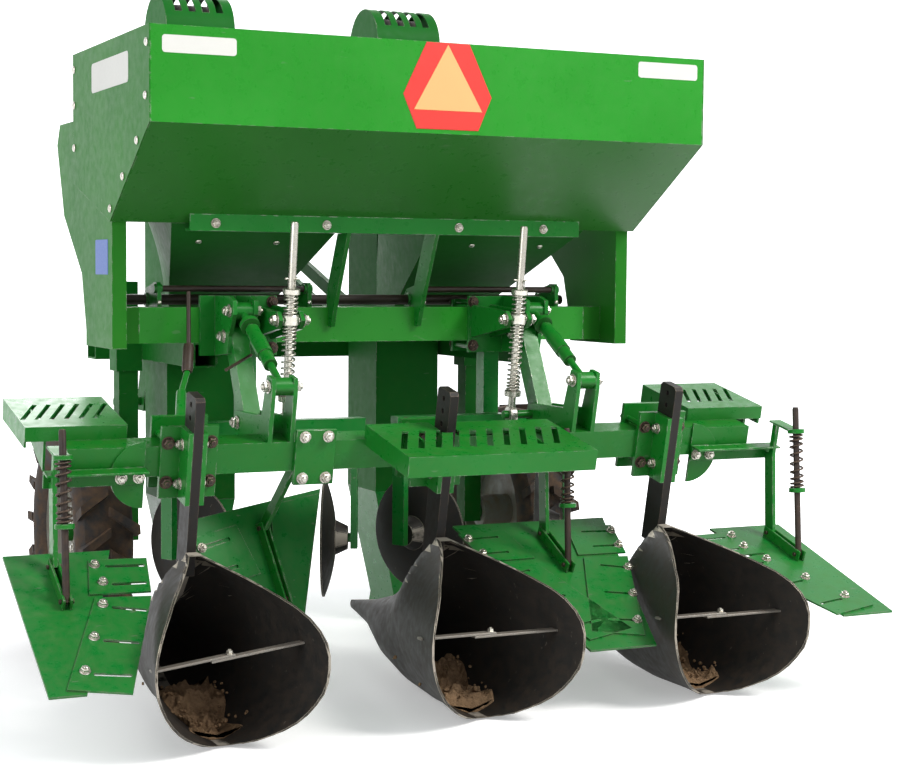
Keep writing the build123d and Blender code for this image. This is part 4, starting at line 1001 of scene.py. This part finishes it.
arm_x = 0.45
low_eye = on_bar(arm_x, -0.016, 0.184)
arm_pins = ((-0.192, 1.046, 0.0366), (-0.141, 0.975, 0.0366), (low_eye[1], low_eye[2], 0.0363))
for side in (-1, 1):
    for end in (-1, 1):
        for y, z, reach in arm_pins:
            pin_places.append(((side * arm_x + end * reach, y, z), (end, 0, 0)))
        pin_places.append(((side * rod_x + end * 0.038, *swivel_at), (end, 0, 0)))
    pin_places.append(((side * 0.4863, *rod_foot), (side, 0, 0)))
fasten("pin_nuts", nut(0.0145), pin_places, zinc)

inner_ends = ((0.01, -0.025), (0.014, -0.098), (-0.007, -0.187), (-0.057, -0.311), (-0.106, -0.432))
outer_ends = [slot[1] for slot in wing_slots]
for name, ends in (("left_outer", inner_ends), ("right_outer", inner_ends),
                   ("right_inner", outer_ends), ("left_inner", outer_ends[:2])):
    *sizes, sides, root = board_sheets[name]
    for side in sides:
        for x, y in on_wing(side, root, ends):
            place = on_board(name, x, y, board_wall + wing_wall)
            board_places.append((place, board_axes(name)[2]))
fasten("board_nuts", nut(0.0105), board_places, zinc)

# %% Heads round the hopper's end walls and along the rail
head_places = []
for side in (-1, 1):
    for y, z in ((-0.515, 1.72), (-0.505, 1.59), (-0.425, 1.483), (-0.29, 1.398), (-0.165, 1.318),
                 (0.222, 1.72), (0.222, 1.62), (0.222, 1.5)):
        head_places.append(((side * abs(side_x), y, z), (side, 0, 0)))
fasten("panel_heads", dome(0.011), head_places, zinc)
rail_places = [((x, -0.195, 1.284), (0, -1, 0)) for x in (-0.527, -0.204, 0.204, 0.48)]
fasten("rail_nuts", nut(0.0105), rail_places, zinc)
spreader_places = [((x, spreader_y, 0.238), (0, 0, 1)) for x in rows.values()]
fasten("spreader_nuts", nut(0.008), spreader_places, zinc)

# %% [markdown]
# ## Feed shafts with their cheeks
# A long shaft and two short agitator rods cross under the hopper, held by green cheeks on the
# main beam. In the solid model they are one piece, so both colours need their own pieces here.
# A colour mask over one mesh would do too, but the cheeks also gain rounded tops and bolts.

# %% Shafts and cheeks
foot, top = (corner.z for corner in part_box("feed_shafts"))
shaft_half, cheek_wall = 0.7, 0.012
long_shaft, short_rods = (0.096, 1.072), (0.012, 1.104)
cheek_outline = [(-0.006, foot), (0.126, foot), (0.126, 1.088), (0.112, 1.104), (0.04, top - 0.004),
                 (0.03, top), (0.004, top), (-0.006, top - 0.01)]
feed_rods = [collar((-shaft_half, *long_shaft), (shaft_half, *long_shaft), 0.015, 0.0015, 0.002)]
cheeks, cheek_bolts = [], []
for side in (-1, 1):
    ends = [(side * reach, *short_rods) for reach in (0.182, 0.63)]
    feed_rods.append(collar(*ends, 0.009, 0.0005, 0.004, 18))
    for share in (0.26, 0.9):
        x = side * share * shaft_half
        place = set_at((0, 1, 0), (0, 0, 1), (1, 0, 0), (x - cheek_wall / 2, 0, 0))
        cheeks.append(slotted_plate(cheek_outline, [], cheek_wall, place))
        for at, radius, drop in ((long_shaft, 0.0205, 0.0015), (short_rods, 0.0135, 0.001)):
            cheeks.append(collar((x - 0.012, *at), (x + 0.012, *at), radius, drop, 0.1, 20))
        cheek_bolts.append(((x, -0.006, foot + 0.012), (0, -1, 0)))
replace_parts(piece("feed_rods", joined(feed_rods), forged, smooth=40), "feed_shafts")
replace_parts(piece("feed_cheeks", joined(cheeks), green, smooth=30), "feed_shafts")
fasten("cheek_bolts", dome(0.007), cheek_bolts, zinc)

# %% [markdown]
# ## Pins, the small linkage and heads on the funnels
# Linch pins lock the pressure rods, a short bar turns each turnbuckle, and a thin linkage runs
# from the main beam to the tool bar on the left. Tubes along a few points are enough for these.
# The heads on the funnels are set by a ray on to the sheet, so each one sits on its face.

# %% Small parts and heads found by a ray
def ring_path(centre, radius, way, count=20):
    """Closed circle whose plane holds the given way and the first vector square to it."""
    across, up = basis(way)[:2]
    turn = np.linspace(0, 2 * np.pi, count + 1)[:, None]
    return np.asarray(centre, float) + radius * (np.cos(turn) * across + np.sin(turn) * up)


small = []
for side in (-1, 1):
    small.append(tube(ring_path((side * rod_x, -0.3285, 1.121), 0.0135, (0.3, 1, 0)), 0.0015))
    ends = [(side * rod_x + reach, -0.306, 1.135) for reach in (-0.02, 0.02)]
    small.append(rod(*ends, 0.003, 10))
piece("linch_pins", joined(small), zinc, smooth=40)
eye, bend, end = (-0.61, -0.2, 0.881), (-0.657, -0.3, 0.834), (-0.691, -0.4, 0.768)
pin = (-0.593, -0.16, 0.952)
tommy = [rod((-0.450, -0.264, 0.928), (-0.576, -0.43, 0.898), 0.0042, 12),
         rod(pin, (-0.581, -0.12, 1.096), 0.006, 14),
         collar(pin, eye, 0.015, 0.002, 0.1, 18)]
piece("turning_bar_and_link_rod", joined(tommy), forged, smooth=40)
link = [rod(eye, bend, 0.008, 14), collar(bend, end, 0.0135, 0.0015, 0.04, 18)]
piece("link_tube", joined(link), green, smooth=40)


def on_sheet(node, start, way):
    """First point of a node on a ray, and its normal turned against the ray; None where it misses."""
    thing = frame["nodes"][node]
    turn = thing.matrix_world.inverted()
    ray = (turn.to_3x3() @ Vector(way)).normalized()
    hit, point, normal, _ = thing.ray_cast(turn @ Vector(start), ray)
    if not hit:
        return None
    point, normal = thing.matrix_world @ point, thing.matrix_world.to_3x3() @ normal
    return tuple(point), tuple(normal if normal.dot(Vector(way)) < 0 else -normal)


funnel_spots = ((-0.536, 1.236), (-0.307, 1.236), (-0.214, 1.17), (-0.53, 1.101), (-0.504, 1.068),
                (0.214, 1.17), (0.307, 1.236), (0.536, 1.236))
found = [on_sheet("seed_funnels", (x, -0.9, z), (0, 1, 0)) for x, z in funnel_spots]
fasten("funnel_heads", dome(0.009), [place for place in found if place], zinc)
wheel_body = {word: body_of(frame["nodes"][f"rim_{word}"])[0] for word in ("left", "right")}
print("wheel bodies:", wheel_body)
wheel_nuts, bolt_circle = 5, 0.062
for word, side in (("left", -1), ("right", 1)):
    low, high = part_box(f"rim_{word}")
    middle = (np.array(low) + np.array(high)) / 2
    found = []
    for turn in np.arange(wheel_nuts) * 2 * np.pi / wheel_nuts:
        spot = middle + bolt_circle * np.array([0, math.cos(turn), math.sin(turn)])
        found.append(on_sheet(f"rim_{word}", (side * 1.3, spot[1], spot[2]), (-side, 0, 0)))
    found = [place for place in found if place]
    if found:
        fasten(f"wheel_nuts_{word}", nut(0.011), found, zinc, wheel_body[word])

# %% [markdown]
# ## Soil in the ridging bodies
# Each ridging body carries loose soil in its fold. Its lower side follows the steel and its
# upper side is a slope with lumps, worked out as one height for each place across and along.
# A particle system would look livelier but would not stay inside the sheet.

# %% Height of the steel and of the soil
soil_back, soil_front = -0.238, 0.085
fade_back, fade_front, fade_length = -0.245, 0.092, 0.03
clearance, soil_depth, thinnest = 0.0065, 0.013, 0.001
lift_of_floor, lift_of_top = 0.0003, 0.0006


def arc_height(x, tip, half, top, low, belly):
    """Lower flank's height at x: the circle through both tips and the widest point, lower branch."""
    bx, bz = half, low + belly * (top - low)
    middle_z = (low + top) / 2
    middle_x = (bx**2 + bz**2 - tip**2 - low**2 - 2 * middle_z * (bz - low)) / (2 * (bx - tip))
    radius = math.hypot(tip - middle_x, low - middle_z)
    reach = np.clip(np.abs(x) - middle_x, None, radius)
    return np.where(np.abs(x) <= tip, low, middle_z - np.sqrt(radius**2 - reach**2))


def slope(place, seed):
    """Rise of the soil along the fold: a straight slope and one wave."""
    return 0.2 * (place + 0.25) + 0.012 * math.sin(31 * place + seed)


def roughness(x, place, lumps, waves=60):
    """Sum of sine waves over x and place, each finer and lower than the one before it."""
    return sum(0.0021 / (1 + k * 0.07) * np.sin(a * 4 + (0.5 + 0.13 * k) * 24 * (x * b + place * c))
               for k, (a, b, c, _) in enumerate(lumps[:waves]))


def soil_heap(x_middle, seed, along_count=110, columns=64):
    """Surface over (along, across): lower side on the steel, upper side with slope and lumps."""
    lumps = np.random.default_rng(seed).normal(size=(90, 4))
    places, *sections = stations[3:][::-1].T
    rings = []
    for place in np.linspace(soil_back, soil_front, along_count):
        half, top, low, belly = (np.interp(place, places, section) for section in sections)
        half, top, low = half - clearance, top - clearance, low + clearance
        tip = tip_of(half)
        level = low + soil_depth + slope(place, seed)
        widths = np.linspace(tip, half, 60)
        heights = arc_height(widths, tip, half, top, low, belly)
        edge = np.interp(level, heights, widths) if level < heights[-1] else half * 0.98
        x = np.linspace(-edge, edge, columns)
        floor_z = arc_height(x, tip, half, top, low, belly)
        deep = np.maximum(level - floor_z + roughness(x, place, lumps) * 2.4, thinnest)
        cover = np.clip(np.sqrt(np.clip(1 - (x / edge) ** 2, 0, 1)) * 3, 0, 1)
        fade = min(1.0, (place - fade_back) / fade_length, (fade_front - place) / fade_length)
        top_z = floor_z + deep * cover * fade + lift_of_top
        upper, lower = (np.column_stack([x + x_middle, np.full(columns, place + bar_back), z])
                        for z in (top_z, floor_z + lift_of_floor))
        rings.append(np.concatenate([upper, lower[::-1]]))
    ring = np.array(rings)
    first, last = ring[:1].mean(1, keepdims=True), ring[-1:].mean(1, keepdims=True)
    return skinned(np.concatenate([first.repeat(2 * columns, 1), ring, last.repeat(2 * columns, 1)]))


def clods(x_middle, seed, count=130):
    """Small lumps: a coarse sphere whose radius follows a few random waves, strewn on the heap."""
    chance = np.random.default_rng(seed)
    lumps = []
    for index in range(count):
        place = chance.uniform(-0.225, 0.03)
        x = chance.normal() * 0.042
        size = chance.uniform(0.002, 0.006) * (1.9 if index % 13 == 0 else 1)
        turn = np.linspace(0, np.pi, 6)
        profile = np.column_stack([np.sin(turn), -0.7 * np.cos(turn)]) * size
        points, faces = lathe(profile, (0, 0, 0), chance.normal(size=3), 8)
        waves = np.sin(points @ chance.normal(size=(3, 3)) * 420 + index).mean(1)
        points = points * (1 + 0.16 * waves)[:, None]
        height = 0.02 + slope(place, seed - 1) + 0.3 * abs(x)
        lumps.append((points + (x_middle + x, place + bar_back, height), faces))
    return joined(lumps)


for (word, x), seed in zip(rows.items(), (3, 8, 21)):
    piece(f"soil_{word}", joined([soil_heap(x, seed), clods(x, seed + 1)]), soil, smooth=70)

# %% [markdown]
# ## Camera, floor and light
# The camera stands where the photograph was taken: left of and behind the planter, a little
# above the tool bar. The floor is plain and pale. Its colour seen by the camera is white, but
# lamps light the planter only as strongly as its own colours can carry.

# %% Camera
def camera_from(position, yaw, pitch, roll, lens):
    """Turns about up, then across, then along the view: columns right, up and minus forward."""
    yaw, pitch, roll = np.radians([yaw, pitch, roll])
    level = Vector((math.sin(yaw), math.cos(yaw), 0)) * math.cos(pitch)
    ahead = level + Vector((0, 0, -math.sin(pitch)))
    right = Vector((math.cos(yaw), -math.sin(yaw), 0))
    up = right.cross(ahead)
    right, up = (right * math.cos(roll) + up * math.sin(roll),
                 up * math.cos(roll) - right * math.sin(roll))
    data = bpy.data.cameras.new("photo_camera")
    data.lens = lens
    data.sensor_width = 36
    thing = linked("photo_camera", data)
    thing.matrix_world = set_at(right, up, -ahead, position)
    return thing


bpy.context.scene.camera = camera_from((-2.0975, -5.0067, 1.158), 25.33, 3.71, 0.45, 73.72)

# %% Floor and backdrop
def seen_directly(add):
    """One for rays from the camera and for mirrored ones, else nothing."""
    kind = add("ShaderNodeLightPath").outputs
    return maths(add, "MAXIMUM", kind["Is Camera Ray"], kind["Is Glossy Ray"])


def pale_ground():
    """Pale floor that glows a little to the camera, more far out, so that only shadows stay grey."""
    material, shader, add = new_material("pale_ground")
    shader.inputs["Base Color"].default_value = (0.9, 0.9, 0.9, 1)
    shader.inputs["Roughness"].default_value = 0.95
    shader.inputs["Specular IOR Level"].default_value = 0.0
    shader.inputs["Emission Color"].default_value = (1, 1, 1, 1)
    space = add("ShaderNodeTexCoord").outputs["Object"]
    away = add("ShaderNodeVectorMath", [(0, space)], operation="LENGTH").outputs["Value"]
    glow = maths(add, "MULTIPLY", seen_directly(add), span(add, away, 1.2, 3.4, 0.34, 1.0))
    material.node_tree.links.new(glow, shader.inputs["Emission Strength"])
    return material


def backdrop(width, depth, height, bend=1.6, steps=16):
    """Floor that turns up behind through a quarter circle: y and z follow the arc's angle."""
    turn = np.linspace(0, np.pi / 2, steps)
    y = np.concatenate([[-depth], depth - bend + bend * np.sin(turn), [depth]])
    z = np.concatenate([[0], bend - bend * np.cos(turn), [height]])
    points = np.array([[[x, b, c] for b, c in zip(y, z)] for x in (-width, width)]).reshape(-1, 3)
    return points, grid_faces(2, len(y))[:, ::-1]


points, faces = backdrop(14.0, 12.0, 9.0, bend=4.0)
floor = linked("floor", bpy.data.meshes.new("floor"))
floor.data.from_pydata(points.tolist(), [], faces.tolist())
floor.data.polygons.foreach_set("use_smooth", np.ones(len(floor.data.polygons), dtype=bool))
floor.data.materials.append(pale_ground())

# %% Lamps and sky
def lamp(name, position, target, size, power, colour=(1, 1, 1)):
    """Square area lamp that looks from its position to the target."""
    data = bpy.data.lights.new(name, "AREA")
    data.size = size
    data.energy = power
    data.color = colour
    thing = linked(name, data)
    thing.location = position
    thing.rotation_euler = (Vector(target) - Vector(position)).to_track_quat("-Z", "Y").to_euler()
    return thing


lamp("key", (4.0, -5.0, 6.0), (0, 0, 0.9), 3.0, 620, (1.0, 0.98, 0.95))
lamp("fill", (-6.0, -3.0, 3.5), (0, 0, 0.9), 4.0, 170)
lamp("back", (1.0, 6.5, 5.0), (0, 0, 1.0), 4.0, 260)
sky = bpy.data.worlds.new("sky")
sky.use_nodes = True
bpy.context.scene.world = sky
sky_add = adder(sky.node_tree)
soft_sky = sky.node_tree.nodes["Background"]
soft_sky.inputs["Color"].default_value = (0.92, 0.95, 1, 1)
soft_sky.inputs["Strength"].default_value = 0.55
white = sky_add("ShaderNodeBackground", [("Color", (1, 1, 1, 1)), ("Strength", 1.0)])
both = sky_add("ShaderNodeMixShader", [(0, seen_directly(sky_add)), (1, soft_sky.outputs[0]),
                                       (2, white.outputs[0])])
sky.node_tree.links.new(both.outputs[0], sky.node_tree.nodes["World Output"].inputs["Surface"])

# %% Look settings
bpy.context.scene.view_settings.view_transform = "Standard"
